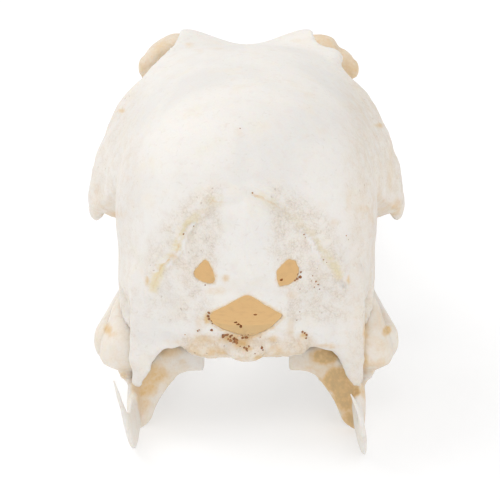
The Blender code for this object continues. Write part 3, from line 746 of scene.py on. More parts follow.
def cranium_relief(points, normals):
    """Sum of the crest, groove, swelling and scars, in millimetres along the normal."""
    x, y, z = points.T
    v = picture_up(points)
    behind = back_face(points, normals)
    signed, _, reach = crest_fields(points)
    above = window(4.5, 30, v, 3)
    ridge = CREST_HIGH * hump(signed, -0.45, 0.55) - GROOVE_DEEP * hump(signed, 0.35, 0.4)
    ridge = ridge * (0.75 + 0.5 * noise(points, 2.2, 14)) * (1 - 0.75 * window(-3.4, 0.4, x, 1.4))
    plate = -FIELD_DEEP * window(0, 0.95, reach, 0.16)
    swelling = SWELLING_HIGH * hump(x, 0.1, 3.1) * window(6.6, 14.6, v, 3.4)
    pillars = PILLARS_HIGH * (hump(x, -1.9, 0.7) + hump(x, 2.2, 0.9)) * window(9.5, 13.6, v, 2.0)
    keel = KEEL_HIGH * hump(x, 0.15, 0.45) * window(6.6, 15.2, v, 2.0)
    scars = SCARS_ROUGH * rough(points, 1.0, 2) * window(0.35, 1.05, reach, 0.16)
    scars = scars * window(3.0, 13, np.abs(x), 1.4)
    base = BASE_ROUGH * rough(points, 1.1, 4) * window(-5, 2.4, v, 1.4) * window(-11.5, 11.5, x, 1.5)
    back = behind * (above * (ridge + plate + scars) + swelling + pillars + keel + base)
    outside = shell_of(points, 0) > 0.8
    rim = window(12.2, 20, np.abs(x), 1.5) * window(14, 26, y, 3)
    dents = DENTS_DEEP * rough(points, 6.0, 7) + GRAIN_DEEP * rough(points, 1.4, 9)
    dents = dents + RIM_ROUGH * rim * rough(points, 1.5, 12)
    seam = -SEAM_DEEP * hump(x, 0.25 * np.sin(y * 2.1), 0.22) * window(17, 60, y, 3) * window(15, 40, z, 2)
    torn = window(-8, 2.2, v, 1.4) * window(-3, 5.6, y, 1.5) * window(2.6, 11.6, np.abs(x), 1.0)
    ragged = TORN_EDGE * torn * np.maximum(rough(points, 1.5, 17), -0.5)
    return back + outside * (dents + seam) + ragged


print("crest drawn through", len(CREST_LEFT) + len(CREST_RIGHT), "corners")

# %% [markdown]
# ## Where the skull is tan, rough or inner
# Bleached bone stays tan where tissue dried on it: along the crest's groove, round the holes
# and under the foramen. Inside the braincase it is tan all over. The sides of the head get a
# tan that is painted shade, more on the right, away from the key light.

# %% Fields of the braincase
# x, v, half-width, half-height and strength of each stain, as the picture shows them
STAINS = [
    (-9.6, 7, 0.22, 0.45, 0.75), (9.9, 7, 0.2, 0.4, 0.7), (-12.1, 23.4, 0.35, 0.2, 0.7),
    (12.9, 22, 0.45, 0.2, 0.5), (14, 17.4, 0.3, 2.2, 0.22), (14.6, 14.2, 0.5, 0.9, 0.2),
    (11.4, 13.9, 0.9, 0.35, 0.2), (12.2, 12.9, 0.3, 0.7, 0.15), (13.6, 12.6, 0.7, 0.3, 0.35),
    (9.9, 14.6, 0.35, 1.2, 0.2), (7.4, 14.3, 0.8, 0.5, 0.2), (8.6, 12.6, 0.5, 0.4, 0.25),
    (-14.5, 15, 0.5, 1.8, 0.18), (-12.9, 13.3, 1, 0.4, 0.25), (-5.5, 29.8, 0.5, 0.3, 0.35),
    (-4.5, 29.2, 0.6, 0.3, 0.25), (6, 24.9, 0.8, 0.45, 0.25), (-2.7, 29.4, 1.1, 0.25, 0.25),
    (5, 30.2, 0.8, 0.3, 0.3), (-0.9, 21.3, 0.5, 0.5, 0.25), (-8, 15.2, 0.5, 0.3, 0.2),
    (-7, 9.2, 0.5, 0.4, 0.55), (-2, 7.2, 0.4, 0.4, 0.5), (-3, 5.9, 1.3, 0.5, 0.35),
    (4.4, 5.6, 0.7, 0.5, 0.4), (-5.6, 11.4, 0.5, 1, 0.22), (-6.4, 8, 1.2, 1, 0.2),
    (7.1, 7.5, 1, 1, 0.16), (-4.9, 0.4, 1.1, 0.5, 0.2), (-3.5, 0, 0.5, 0.4, 0.4),
    (-4, 1.3, 1.1, 0.5, 0.3), (-2.6, 0.1, 0.9, 0.4, 0.3), (2.6, 1.3, 0.45, 0.3, 0.4),
    (2.8, 0.3, 0.7, 0.3, 0.38), (1.3, -0.6, 0.6, 0.35, 0.3), (5.2, 0.5, 0.6, 0.4, 0.15),
    (-1.5, 1.4, 0.9, 0.45, 0.85), (-0.6, 0.9, 0.9, 0.45, 0.7), (0, 1.5, 0.5, 0.25, 0.8),
    (0.1, 0.3, 0.5, 0.3, 0.6), (5.6, 1.7, 0.4, 0.35, 0.7), (4.9, 7.3, 0.35, 0.6, 0.4),
    (-3.85, 3.3, 0.3, 0.6, 0.8), (-4.6, 2.6, 0.5, 1, 0.3), (4.3, 2.4, 0.4, 0.9, 0.35),
    (7.9, 0.6, 1.2, 0.25, 0.45), (11.55, 1.8, 0.2, 1.4, 0.6), (-7.4, 1, 0.9, 0.3, 0.3),
]
# How far along the crest, left below nothing and right above it, how strong the wide pale
# band is there, and how strong the thin dark line in it
CREST_STAIN = [
    (-1, 0.6, 0.2), (-0.86, 0.9, 0.5), (-0.75, 0.9, 0.6), (-0.64, 0.8, 0.75), (-0.52, 0.7, 0.2),
    (-0.4, 0.75, 0.1), (-0.3, 0.3, 0.1), (-0.2, 0.12, 0.35), (-0.12, 0.42, 0.5), (-0.02, 0.4, 0.2),
    (0, 0, 0), (0.02, 0.3, 0.8), (0.15, 0.3, 0.45), (0.27, 0.2, 0.25), (0.42, 0.24, 0.1),
    (0.52, 0.32, 0), (0.75, 0.5, 0.2), (0.88, 0.65, 0.3), (1, 0.5, 0),
]
# Millimetres across the crest that the stored line covers, and the width of a rim's tan halo
LINE_SPAN = 8.0
HALO = 0.17


def cranium_fields(points, normals):
    """The stains, the painted shade on the flanks, the rough places and the signed distance to the crest,
    for the material.
    """
    x, v = points[:, 0], picture_up(points)
    behind = back_face(points, normals)
    signed, along, reach = crest_fields(points)
    speckle = 0.5 + 0.5 * rough(points, 0.9, 21)
    tan = stains_and_shade(points, normals, STAINS) * (shell_of(points, 0) > 0.86)
    under = behind * window(-2.0, 1.6, v, 1.2) * window(-6.5, 6.5, x, 1.6)
    for hole in (FORAMEN, SOFT_SPOT_LEFT, SOFT_SPOT_RIGHT):
        off_rim, _, _ = beside(x, v, hole + [hole[0]])
        tan = np.maximum(tan, behind * hump(off_rim, 0, HALO) * (0.32 + 0.34 * speckle))
    tan = tan + 0.4 * under * (0.5 + 0.5 * speckle)
    # Painted shade: the sides of the head are tanned, more on the right, away from the key light
    painted_flank_shade = 0.25 * window(9.5, 30, np.abs(x + 0.4), 4) * (1 + 0.25 * np.sign(x))
    tan = tan + painted_flank_shade * (0.6 + 0.4 * speckle)
    below = window(0.35, 2, -normals[:, 2], 0.5) * window(-8, 22, points[:, 1], 4)
    tan = tan + 0.3 * below * speckle
    scars = behind * window(0.4, 1.1, reach, 0.2) * window(2.4, 13, np.abs(x), 1.4) * window(3.0, 20, v, 1.5)
    scars = scars * (1 - 0.6 * window(-13, -6.3, x, 1.5) * window(0, 7.6, v, 1.5))
    place, band, thread = np.array(CREST_STAIN).T
    on_crest = behind * window(-0.985, 0.985, along, 0.03)
    return {
        "tan": np.maximum(tan, 0),
        # On the sides of the head the rough field adds grain, and its beige there is painted shade too
        "rough": np.maximum(np.maximum(scars, under), 0.45 * window(10.5, 30, np.abs(x + 0.4), 3)),
        "inner": window(-1, 1.2, shell_of(points, BONE_WALL), 0.16),
        "line": 0.5 + signed / LINE_SPAN,
        "band": on_crest * np.interp(along, place, band),
        "thread": on_crest * np.interp(along, place, thread),
    }


print(len(STAINS), "stains on the braincase")

# %% [markdown]
# ## Putting the braincase together
# All that is solid is joined first, and then the rooms are cut. The prong behind the eye and the
# sheet behind the ear reach into those rooms, so they are joined after the cuts.

# %% The finished braincase
# Side of the cubes that melt the braincase into one skin
CASE_VOXEL = 0.31
shapes = [braincase, roof, septum, rostrum, base_plate, rim_lobe] + condyle
for shape in (temple, ear_wall, pterygoid_pad, front_wall):
    shapes += both(shape)
cuts = [brain_room, optic_hole] + both(orbit) + both(ear_hollow)
later = both(postorbital_process) + both(ear_flange)
changes = {"relief": cranium_relief, "holes": back_holes, "fields": cranium_fields}
skull_case = bone("skull_case", shapes + wings, cuts, later, voxel=CASE_VOXEL, **changes)
finish_bone(skull_case, "skull_bone", "cranium")

# %% [markdown]
# ## The shields in front of the eyes
# A rounded bone stands out at each front corner of the eye socket, with a prong that runs
# down and back. Seen from behind, only its tan, rounded shoulder shows above the roof.

# %% The lacrimal bones
# Side of the cubes that melt a small bone into one skin
SMALL_VOXEL = 0.16
# The left shield is one smooth crescent, and the right one has a notch in its edge
SHIELD_LEFT = [
    (7, 45.7, 18.6, 1.8, 1.05), (7.8, 45.6, 18.5, 1.9, 1.15), (8.6, 45.3, 18.2, 2.1, 1.2),
    (9.5, 44.9, 17.7, 2.1, 1.25), (10.3, 44.5, 17.1, 1.8, 1.3), (10.9, 44.1, 16.5, 1.3, 1.15),
]
SHIELD_RIGHT = [
    (7, 45.7, 18.5, 1.8, 1), (8.2, 45.4, 18.35, 2, 1.2), (9.2, 45, 18, 2, 1.25),
    (9.8, 44.8, 17.3, 1.9, 1.1), (10.5, 44.5, 16.9, 1.8, 1.25), (11.1, 44.2, 16.5, 1.4, 1.2),
    (11.4, 44, 16.3, 1, 1),
]


def lacrimal(shield):
    """The shield across the corner of the eye socket, and the prong under it."""
    prong = [
        (10.2, 44.2, 16.4, 0.9, 1.6), (10.4, 43.6, 13, 0.7, 1.4), (10.5, 41.8, 9.4, 0.65, 1.4),
        (10.3, 39.2, 7, 0.65, 1.7), (10.2, 36.8, 5.8, 0.5, 1.1),
    ]
    return [limb(shield, held="x", ends=(0.3, 0.5)), limb(prong, up=(0, 1, 0))]


def faint_relief(points, normals):
    """Two weak noises along the normal, as on any smooth bone."""
    return 0.05 * rough(points, 2.0, 31) + 0.02 * rough(points, 0.7, 33)


def shield_fields(points, normals):
    """Tan all over, and darker along the edge that meets the roof."""
    inner_edge = window(-20, 0.75, np.abs(points[:, 0]) * 0.62 + points[:, 2] * 0.78 - 20.1, 0.9)
    tan = 0.13 + 0.16 * rough(points, 1.6, 35) + 0.35 * inner_edge * window(14, 30, points[:, 2], 2)
    tan = tan + 0.12 * (points[:, 0] > 0)
    return {"tan": tan, "rough": 0.3 + 0 * tan}


def on_side(shapes, side):
    """Shapes are made for the bird's right, and mirrored for its left."""
    return shapes if side == "right" else [mirrored(shape) for shape in shapes]


small_bones = {}


def small_bone(name, shapes, slot, node, fields):
    """A small bone that is melted finely, and kept until its material is made."""
    small_bones[name] = bone(name, shapes, voxel=SMALL_VOXEL, relief=faint_relief, fields=fields)
    finish_bone(small_bones[name], slot, node)


for side, shield in (("right", SHIELD_RIGHT), ("left", SHIELD_LEFT)):
    shapes = on_side(lacrimal(shield), side)
    small_bone("eye_shield_" + side, shapes, "cheek_bone", "lacrimal_" + side, shield_fields)

# %% [markdown]
# ## The upper bill
# The bill is one bone, high and arched at its root and flat and spoon-shaped in front. Behind
# the long nostrils it is a hollow arch, open below, and a trough runs along its underside.

# %% Shapes of the bill
BILL = [
    # y, half-width, z of the top, z of the widest line, z of the underside
    (HINGE_Y, 6.5, 17.3, 1.6, 0.8), (52, 7.3, 15.6, -0.6, -1.6), (57, 7.9, 12.4, -1.4, -2.5),
    (63, 8, 9.2, -2, -3.1), (69, 8, 6.6, -2.6, -3.6), (75, 8.4, 4.6, -3, -4),
    (81, 9.2, 2.9, -3.3, -4.3), (88, 10.1, 1.5, -3.4, -4.5), (94, BILL_HALF, 0.5, -3.4, -4.6),
    (100, BILL_HALF * 0.95, -0.5, -3.4, -4.6), (104.5, BILL_HALF * 0.80, -1.3, -3.6, -4.7),
    (107.6, BILL_HALF * 0.52, -2.1, -3.9, -4.9), (BILL_TIP_Y, BILL_HALF * 0.24, -2.9, -4.3, -5),
]
BILL_WALL = 1.4
PALATE_Y = 60.0
PALATE_TOP = -0.6


def nose_room():
    """The room behind the nostrils, open below and behind as far as the palate."""
    table = np.array(BILL).T
    y = np.array([HINGE_Y, 52.0, 57.0, PALATE_Y - 0.3, PALATE_Y + 0.3, 63.0, 69.0])
    wide, top, edge = (np.interp(y, table[0], column) for column in table[1:4])
    floor = np.where(y < PALATE_Y, -8.0, PALATE_TOP)
    edge = np.maximum(edge, floor + 1)
    y[0] -= 3
    return domed(np.stack([y, wide - BILL_WALL, top - BILL_WALL, edge, floor], axis=1), rows=91)


def palate_hollow():
    """The trough along the underside, deepest behind its middle."""
    y, wide, _, _, low = np.array(BILL[3:-1]).T
    deep = np.array([0.3, 1.2, 2.2, 2.8, 2.5, 2.1, 1.7, 1.1, 0.3])
    return domed(np.stack([y, wide - 1.6, low + deep, low - 1.5, low - 3], axis=1), rows=60, square=2.6)


def side_hole(y, z, half_long, half_tall, degrees):
    """A cutter right through from side to side, an ellipse turned by some degrees."""
    ends = [(x, y, z, half_long, half_tall) for x in (-12, 12)]
    return turned(limb(ends, rows=4, around=40, held="x", square=2.2), np.array([0, y, z]), degrees)


# The bar that leads from the cheek bar into the side of the bill
stations = [
    (8, 52.8, -1.8, 0.8, 0.95), (7.7, 56, -1.9, 0.9, 1), (7.3, 61, -2.1, 0.9, 1), (7, 66, -2.6, 0.8, 0.9)
]
side_bar = limb(stations, ends=(0.4, 1))

print("bill", round(BILL_TIP_Y - HINGE_Y, 1), "mm long")

# %% [markdown]
# ## Pits of the bill
# In life the front of the bill is full of touch organs, and each leaves a pit in the bone.
# They are cut as a relief that grows towards the tip, and the nail is a faint raised shield.

# %% The bill and its relief
# Heights of the relief in millimetres
PITS_DEEP = 0.16
LINES_HIGH = 0.05
NAIL_HIGH = 0.22
RIDGE_HIGH = 0.35
UNEVEN = 0.05


def bill_relief(points, normals):
    """Sum of the pits, fine lines, nail and ridge, in millimetres along the normal."""
    x, y, _ = points.T
    outside = window(0.15, 2, normals[:, 2], 0.5)
    pits = -PITS_DEEP * np.clip(noise(points, 1.1, 41) - 0.35, 0, 1) * window(78, 120, y, 18)
    lines = LINES_HIGH * rough(points * (3.0, 0.7, 3.0), 3.0, 43) * window(50, 95, y, 20)
    nail = NAIL_HIGH * outside * window(-9, 1.0, np.hypot(x / 4.2, (y - BILL_TIP_Y) / 7.5) - 0.1, 0.35)
    ridge = RIDGE_HIGH * outside * hump(x, 0, 1.6) * window(50, 80, y, 16)
    return pits + lines + nail + ridge + UNEVEN * rough(points, 4.0, 45)


def bill_fields(points, normals):
    """Speckled, more tan low down and towards the tip, and rough in front."""
    _, y, z = points.T
    speckle = 0.5 + 0.5 * rough(points, 1.6, 47)
    tan = 0.1 + (0.25 + 0.3 * window(-20, -2.0, z, 2.5)) * speckle + 0.2 * window(98, 120, y, 10)
    return {"tan": tan, "rough": window(74, 120, y, 24)}


nostrils = side_hole(61.0, 5.0, 5.6, 2.2, -22)
root_gap = side_hole(48.4, 5.6, 3.8, 6.4, 12)
bill_cuts = [nose_room(), palate_hollow(), nostrils, root_gap]
changes = {"relief": bill_relief, "fields": bill_fields}
bill = bone("bill", [domed(BILL, rows=120)], bill_cuts, both(side_bar), rounds=2, **changes)
finish_bone(bill, "bill_bone", "upper_bill")

# %% [markdown]
# ## The bars under the skull
# Thin bars carry the push of the jaw to the bill: the cheek bar outside, the palatine and
# pterygoid inside, with the slip of the vomer between. The quadrate hangs the jaw from the ear.

# %% Cheek bar and palate bones
stations = [
    (13.85, 8, -1.7, 1.25, 1.9), (13.9, 10.2, -1.7, 1.1, 1.5), (13.2, 16, -1.7, 0.95, 1.2),
    (12.1, 24, -1.6, 0.85, 1.05), (10.7, 36, -1.6, 0.7, 0.95), (9, 46, -1.7, 0.65, 0.9),
    (8, 52.15, -1.8, 0.6, 0.85),
]
jugal = [limb(stations, rows=60, ends=(1, 0.3))]

stations = [
    (1.7, 26.4, -1.6, 0.8, 0.75), (2.6, 30, -1.8, 1.8, 0.6), (4, 35, -1.8, 2.1, 0.55),
    (4.4, 40, -1.8, 1.2, 0.55), (4.4, 48, -1.6, 0.8, 0.55), (4.2, 55, -1.7, 0.8, 0.55),
    (4, 59.5, -1.7, 0.9, 0.6),
]
palatine = [limb(stations, rows=50, ends=(1, 0.3))]

stations = [
    (7.5, 11.25, -3, 0.9, 0.9), (5.7, 14.8, -2.5, 0.8, 0.9), (4.2, 18.8, -2.1, 0.9, 0.8),
    (2.9, 22.6, -1.7, 1, 0.7), (2.3, 24.9, -1.6, 0.8, 0.6),
]
pterygoid = [limb(stations, rows=40)]

stations = [
    (0, 27.6, -1.6, 0.6, 0.6), (0, 32, -1.3, 0.45, 1.1), (0, 40, -0.7, 0.45, 1.4),
    (0, 47, -0.5, 0.4, 1.1), (0, 52, -0.7, 0.35, 0.6),
]
vomer = [limb(stations, rows=40)]

print("the cheek bar is", len(jugal[0][0]), "points before it is melted")

# %% [markdown]
# ## The quadrate
# This is the hinge of the jaw. A stem hangs from the ear, a blade points forward to the
# pterygoid, and the knuckles below sit in the cup of the jaw. Outside them lies a broad face
# that takes the end of the cheek bar. Each is a limb, and they melt into one bone.

# %% Stem, blade, knuckles and outer face
stem = limb([(10.6, 9, 3.4, 1, 1.3), (10.7, 9, 1.4, 1, 1.2), (10.8, 9.1, -1.4, 1.3, 1.4)], up=(0, 1, 0))
blade = limb([(10.6, 9.8, -1.4, 0.8, 1.2), (9.5, 12.4, -1.8, 0.6, 1), (8.3, 15, -1.6, 0.4, 0.6)])
stations = [(8.6, 9.3, -3.1, 1.2, 1.25), (10.4, 9, -2.7, 1.5, 1.7), (11.9, 8.7, -2.6, 1.5, 1.7)]
knuckles = limb(stations, held="x")
outer_face = [
    (12.2, 8.9, 2.2, 0.7, 1.2), (12.2, 8.3, 1.4, 1.1, 2.2), (12.1, 7.7, 0.4, 1.5, 3.1),
    (12.2, 7.4, -0.8, 2, 3.6), (12.25, 7.3, -2, 2.2, 3.5), (12.25, 7.2, -2.9, 2.15, 3.2),
    (12, 7.4, -3.6, 1.6, 2.4), (11.8, 7.7, -4.2, 1, 1.6),
]
quadrate = [stem, blade, knuckles, limb(outer_face, held="z", square=3)]

# Spots on the jaw joints and the cheek bars, as the picture shows them, and painted shade in
# the slits beside the joints and between the joints and the wing tips
JOINT_SPOTS_AND_SHADE = [
    (-13.4, 2.2, 0.4, 0.45, 0.6), (-13, 1.7, 0.5, 0.3, 0.25), (13.65, 2.1, 0.42, 0.45, 1.1),
    (11.5, 2.2, 0.4, 1.5, 0.36), (11.5, -1.2, 0.4, 1.2, 0.5), (11.4, -3.3, 0.7, 0.8, 0.4),
    (10.75, -2.7, 0.35, 0.6, 0.5), (-11.9, -2.35, 0.35, 0.6, 0.4), (12.9, -1.2, 0.9, 0.6, 0.3),
    (12.9, 0.7, 0.9, 0.8, 0.15), (12.4, -1.9, 0.8, 0.4, 0.2), (13, 3.2, 0.6, 1.3, 0.2),
    (-11.9, -1.9, 0.7, 0.7, 0.2),
]


def pale_fields(points, normals):
    """The spots and the painted shade of the slits, a faint speckle, and a little more tan near the jaw
    joints.
    """
    speckle = 0.5 + 0.5 * rough(points, 1.2, 51)
    joints = window(-10, 13, points[:, 1], 6)
    tan = stains_and_shade(points, normals, JOINT_SPOTS_AND_SHADE) + 0.16 * speckle + (0.06 + 0.18 * joints)
    return {"tan": tan, "rough": 0.1 + 0 * tan}


# name of the piece, the solid it stands for, its shapes and its slot
PAIRED = [
    ("cheek_bar", "jugal", jugal, "cheek_bone"),
    ("palate_bar", "palatine", palatine, "palate_bone"),
    ("pterygoid_bar", "pterygoid", pterygoid, "palate_bone"),
    ("quadrate_bone", "quadrate", quadrate, "palate_bone"),
]
for name, node, shapes, slot in PAIRED:
    for side in ("right", "left"):
        small_bone(f"{name}_{side}", on_side(shapes, side), slot, f"{node}_{side}", pale_fields)
small_bone("vomer_slip", vomer, "palate_bone", "vomer", pale_fields)

# %% [markdown]
# ## The lower jaw
# Two long bars meet in front in a flat spoon. Behind, each bar carries a cup for the quadrate,
# a thin web that points in under the skull, and an upturned hook. The two hooks differ a
# little, as they do on a real skull.

# %% Bars, cups and webs
half = [
    (11.1, 3, -7.4, 0.6, 2.2), (10.9, 6, -7.4, 0.9, 2.2), (10.6, 10, -7.2, 1.1, 2.4),
    (10.6, 14, -6.6, 1, 3), (10.6, 18, -6.2, 1, 3.4), (10.5, 23, -6.7, 1, 2.9),
    (10.1, 30, -6.85, 1, 2.6), (9.5, 40, -6.95, 1, 2.35), (8.9, 52, -7.2, 1.1, 2.1),
    (8.5, 64, -7.5, 1.2, 1.9), (8.4, 76, -7.8, 1.6, 1.7), (8.1, 87, -8.05, 2.1, 1.55),
    (6.9, 95, -8.2, 2.6, 1.4), (4.4, 100.6, -8.2, 2.9, 1.3),
]
other = [(-x, y, z, w, h) for x, y, z, w, h in reversed(half)]
jaw_bar = limb(half + [(0, JAW_TIP_Y, -8.2, 3, 1.3)] + other, rows=220, around=32, square=2.6)

stations = [
    (12.1, 8.9, -5.2, 1.6, 0.5), (11.3, 8.9, -5.7, 2.4, 1.15), (10, 8.6, -5.8, 2.6, 1.3),
    (8.6, 8.2, -5.5, 2, 0.75), (7.6, 7.6, -5.2, 1.2, 0.5),
]
jaw_cup = limb(stations, held="x", square=2.3)

stations = [
    (11, 4, -7, 0.6, 2.6), (10.4, 4.4, -6.5, 0.55, 3), (10, 4.6, -6.2, 0.55, 3.1),
    (9.4, 4.8, -5.6, 0.55, 3.1), (9, 5, -4.9, 0.55, 2.8), (8.6, 5.3, -4.3, 0.55, 2.6),
    (8, 5.6, -3.7, 0.6, 2.3), (7.4, 5.9, -3.2, 0.65, 2), (6.7, 6.2, -3, 0.65, 1.5),
    (5.5, 6.5, -3.1, 0.6, 1.1), (4.25, 6.6, -3.25, 0.55, 1),
]
jaw_web = limb(stations, rows=60, held="x", square=3.4, ends=(1, 0.15))

print("the jaw is", JAW_TIP_Y, "mm long in front of the condyle")

# %% [markdown]
# ## The hooks of the jaw
# Behind the joint each bar ends in a thin blade that curves up. Muscles that opened the bill
# pulled on it. Their points are so thin that melting would lose them, so each is a limb of its
# own that is joined afterwards.

# %% Hooks, their points, and the relief of the jaw
# Side of the cubes that melt the jaw into one skin, and the depth of its outer groove
JAW_VOXEL = 0.23
JAW_GROOVE = 0.14
RIGHT_HOOK = [
    (11, 4, -7.4, 0.6, 2.1), (11, 0, -7.8, 0.45, 1.9), (11.15, -3.2, -7.6, 0.36, 1.8),
    (11.2, -5.3, -6.4, 0.32, 1.2), (11, -7.1, -4.4, 0.24, 0.6),
]
RIGHT_TIP = [
    (11.15, -6, -5.7, 0.26, 0.9), (11, -7.1, -4.4, 0.2, 0.55), (10.6, -8.1, -2.8, 0.14, 0.3),
    (9.95, -8.7, -1.2, 0.07, 0.1),
]
LEFT_HOOK = [
    (-11, 4, -7.4, 0.6, 2.1), (-11.05, 0, -7.7, 0.45, 2), (-11.25, -2.5, -7.1, 0.4, 1.8),
    (-11.5, -5, -5.4, 0.32, 1.1), (-11.85, -7, -3.2, 0.24, 0.5),
]
LEFT_TIP = [
    (-11.7, -6.2, -4.1, 0.24, 0.75), (-11.85, -7, -3.2, 0.2, 0.5), (-12.25, -7.9, -1.4, 0.13, 0.26),
    (-12.57, -8.3, 0, 0.07, 0.1),
]


def jaw_relief(points, normals):
    """A shallow groove along the outside, and a faint unevenness."""
    x, y, z = points.T
    outside = window(0.4, 2, normals[:, 0] * np.sign(x), 0.4)
    groove = -JAW_GROOVE * hump(z, -6.6 - 0.012 * y, 0.35) * window(24, 92, y, 8) * outside
    return groove + 0.05 * rough(points, 3.0, 61) + 0.02 * rough(points, 0.9, 63)


# The tan of the webs and hooks, as the picture shows it: their own tan, painted shade in their
# recesses and under the wings, and painted light that comes through their thin bone
JAW_TAN_AND_SHADE = [
    (-7.5, 0.2, 1.7, 0.9, 0.5), (-8.4, -1, 1, 0.6, 0.35), (-10.9, -3.2, 0.45, 1.3, 0.45),
    (-11.9, -2.35, 0.35, 0.6, 0.4), (10.75, -2.7, 0.35, 0.6, 0.5), (-8.9, -2.2, 1.5, 1.2, 0.7),
    (-9.7, -3.4, 1.1, 1.2, 0.66), (-10.2, -5, 1.2, 1.6, 0.45), (-12, -9, 0.5, 0.5, 0.2),
    (-8, -2.4, 2.6, 1.8, 0.25), (-9.9, -6.2, 1.6, 2.6, 0.2), (7.7, -0.4, 1.5, 0.9, 1.1),
    (8.9, -2.6, 1.5, 1.4, 1.1), (9.6, -4.4, 1.3, 1.7, 1.05), (10.2, -6.6, 1.1, 1.9, 0.85),
    (10.6, -3.9, 0.5, 0.6, 1.1), (11.5, -3.8, 0.7, 1.2, 0.5), (10.6, -6.6, 0.7, 1.6, 0.5),
    (11.1, -5.4, 0.6, 1.3, 0.25), (7.6, -1.6, 2.6, 1.6, 0.35), (8.9, -3.6, 2.4, 3, 0.35),
    (6, -1.5, 0.4, 0.3, 0.4), (-6.2, -0.9, 0.5, 0.3, 0.3),
]


def jaw_fields(points, normals):
    """A faint speckle, and the tan of the webs and hooks, which also paints their shade."""
    speckle = 0.5 + 0.5 * rough(points, 1.5, 65)
    # Painted shade and painted light through thin bone, in the tan of the webs and hooks
    web_tan_and_shade = stains_and_shade(points, normals, JAW_TAN_AND_SHADE) * window(2.5, 9, points[:, 1], 1.0)
    return {"tan": 0.1 + 0.14 * speckle + web_tan_and_shade, "rough": 0.15 + 0 * speckle}


# Which way each blade's height stands: both lean a little towards the bird's left
RIGHT_LEAN = (-0.15, 0, 1)
LEFT_LEAN = (-0.14, 0, 1)
jaw_shapes = [jaw_bar, limb(RIGHT_HOOK, up=RIGHT_LEAN), limb(LEFT_HOOK, up=LEFT_LEAN)]
jaw_shapes += both(jaw_cup) + both(jaw_web)
hook_tips = [limb(RIGHT_TIP, up=RIGHT_LEAN), limb(LEFT_TIP, up=LEFT_LEAN)]
jaw_changes = {"relief": jaw_relief, "fields": jaw_fields, "tips": hook_tips}
lower_jaw = bone("lower_jaw", jaw_shapes, voxel=JAW_VOXEL, rounds=2, **jaw_changes)
finish_bone(lower_jaw, "jaw_bone", "mandible")

# %% [markdown]
# ## A material for dry bone
# Bleached bone is a warm white with cool and creamy clouds, a dull sheen and tiny pits. Light
# goes a little way into it, which subsurface scattering gives. One function builds it, and
# each bone gets its own white, its own stain and its own grain.

# %% Helpers for shader nodes
class Nodes:
    """The nodes of one new material. Most helpers add a node and give its output."""

    def __init__(self, name):
        self.material = bpy.data.materials.new(name)
        self.material.use_nodes = True
        self.tree = self.material.node_tree
        self.place = self.add("TexCoord").outputs["Object"]

    def fill(self, node, values):
        """Sets inputs to numbers or links them to sockets. A name is the input's, or i and its number."""
        for key, value in values.items():
            socket = node.inputs[int(key[1:]) if key[1:].isdigit() else key.replace("_", " ")]
            if isinstance(value, bpy.types.NodeSocket):
                self.tree.links.new(value, socket)
            else:
                socket.default_value = value

    def add(self, kind, settings=None, **values):
        """A node with its settings and its inputs."""
        node = self.tree.nodes.new("ShaderNode" + kind)
        for key, value in (settings or {}).items():
            setattr(node, key, value)
        self.fill(node, values)
        return node

    def noise(self, size, detail=3.0, roughness=0.55):
        """Noise with features of about size metres: a number and a colour."""
        values = {"Scale": 1 / size, "Detail": detail, "Roughness": roughness}
        return self.add("TexNoise", Vector=self.place, **values).outputs

    def cloud(self, size, detail=3.0):
        """Noise from 0 to 1."""
        return self.noise(size, detail)["Fac"]

    def cells(self, place, size, feature="F1"):
        """Distances in a pattern of cells: to the middle of a cell, or to its edge."""
        return self.add("TexVoronoi", {"feature": feature}, Vector=place, Scale=1 / size).outputs["Distance"]

    def step(self, value, low, high):
        """Eased from 0 at low to 1 at high."""
        settings = {"interpolation_type": "SMOOTHSTEP"}
        return self.add("MapRange", settings, i0=value, i1=low, i2=high).outputs[0]

    def maths(self, operation, **values):
        """One step of arithmetic."""
        return self.add("Math", {"operation": operation}, **values).outputs[0]

    def times(self, a, b):
        return self.maths("MULTIPLY", i0=a, i1=b)

    def plus(self, a, b):
        return self.maths("ADD", i0=a, i1=b)

    def mix(self, factor, first, second):
        """The first colour at factor 0, the second at 1."""
        return self.add("Mix", {"data_type": "RGBA"}, i0=factor, i6=first, i7=second).outputs[2]

    def stored(self, name):
        """A field that the bone's points store."""
        return self.add("Attribute", {"attribute_name": name}).outputs["Fac"]

    def bump(self, height, deep):
        """A normal that is tilted as if the surface rose by deep metres times height."""
        return self.add("Bump", Strength=0.5, Distance=deep, Height=height).outputs["Normal"]

    def surface(self, **values):
        """Sets the inputs of the surface shader."""
        self.fill(self.tree.nodes["Principled BSDF"], values)
        return self.material


print("shader helpers ready")

# %% [markdown]
# ## The bone's colours and noises
# A few noises, from broad clouds to the finest grain, and the fields that the bones store say
# where each colour goes. Cracks and pits are Voronoi patterns, and a little noise bends them so
# that no line in them stays straight.

# %% Colours, fields and noises
COOL = (0.79, 0.775, 0.755, 1)
CREAM = (0.83, 0.785, 0.69, 1)
ROSY = (0.79, 0.72, 0.67, 1)
BEIGE = (0.80, 0.73, 0.65, 1)
SCAR = (0.57, 0.51, 0.43, 1)
# The tan of stains, which also paints the shade that the tan field holds on the flanks, webs and joints
STAIN_AND_SHADE = (0.73, 0.50, 0.235, 1)
DEEP_STAIN_AND_SHADE = (0.60, 0.425, 0.225, 1)
BAND = (0.80, 0.71, 0.46, 1)
RIM_BROWN = (0.40, 0.19, 0.06, 1)
SPECK = (0.24, 0.14, 0.075, 1)
INSIDE = (0.72, 0.50, 0.25, 1)
INSIDE_DARK = (0.64, 0.42, 0.19, 1)
# Light that shines through the thin walls, and its colour
GLOW_THROUGH = 0.235
GLOW = (1, 0.99, 0.68, 1)
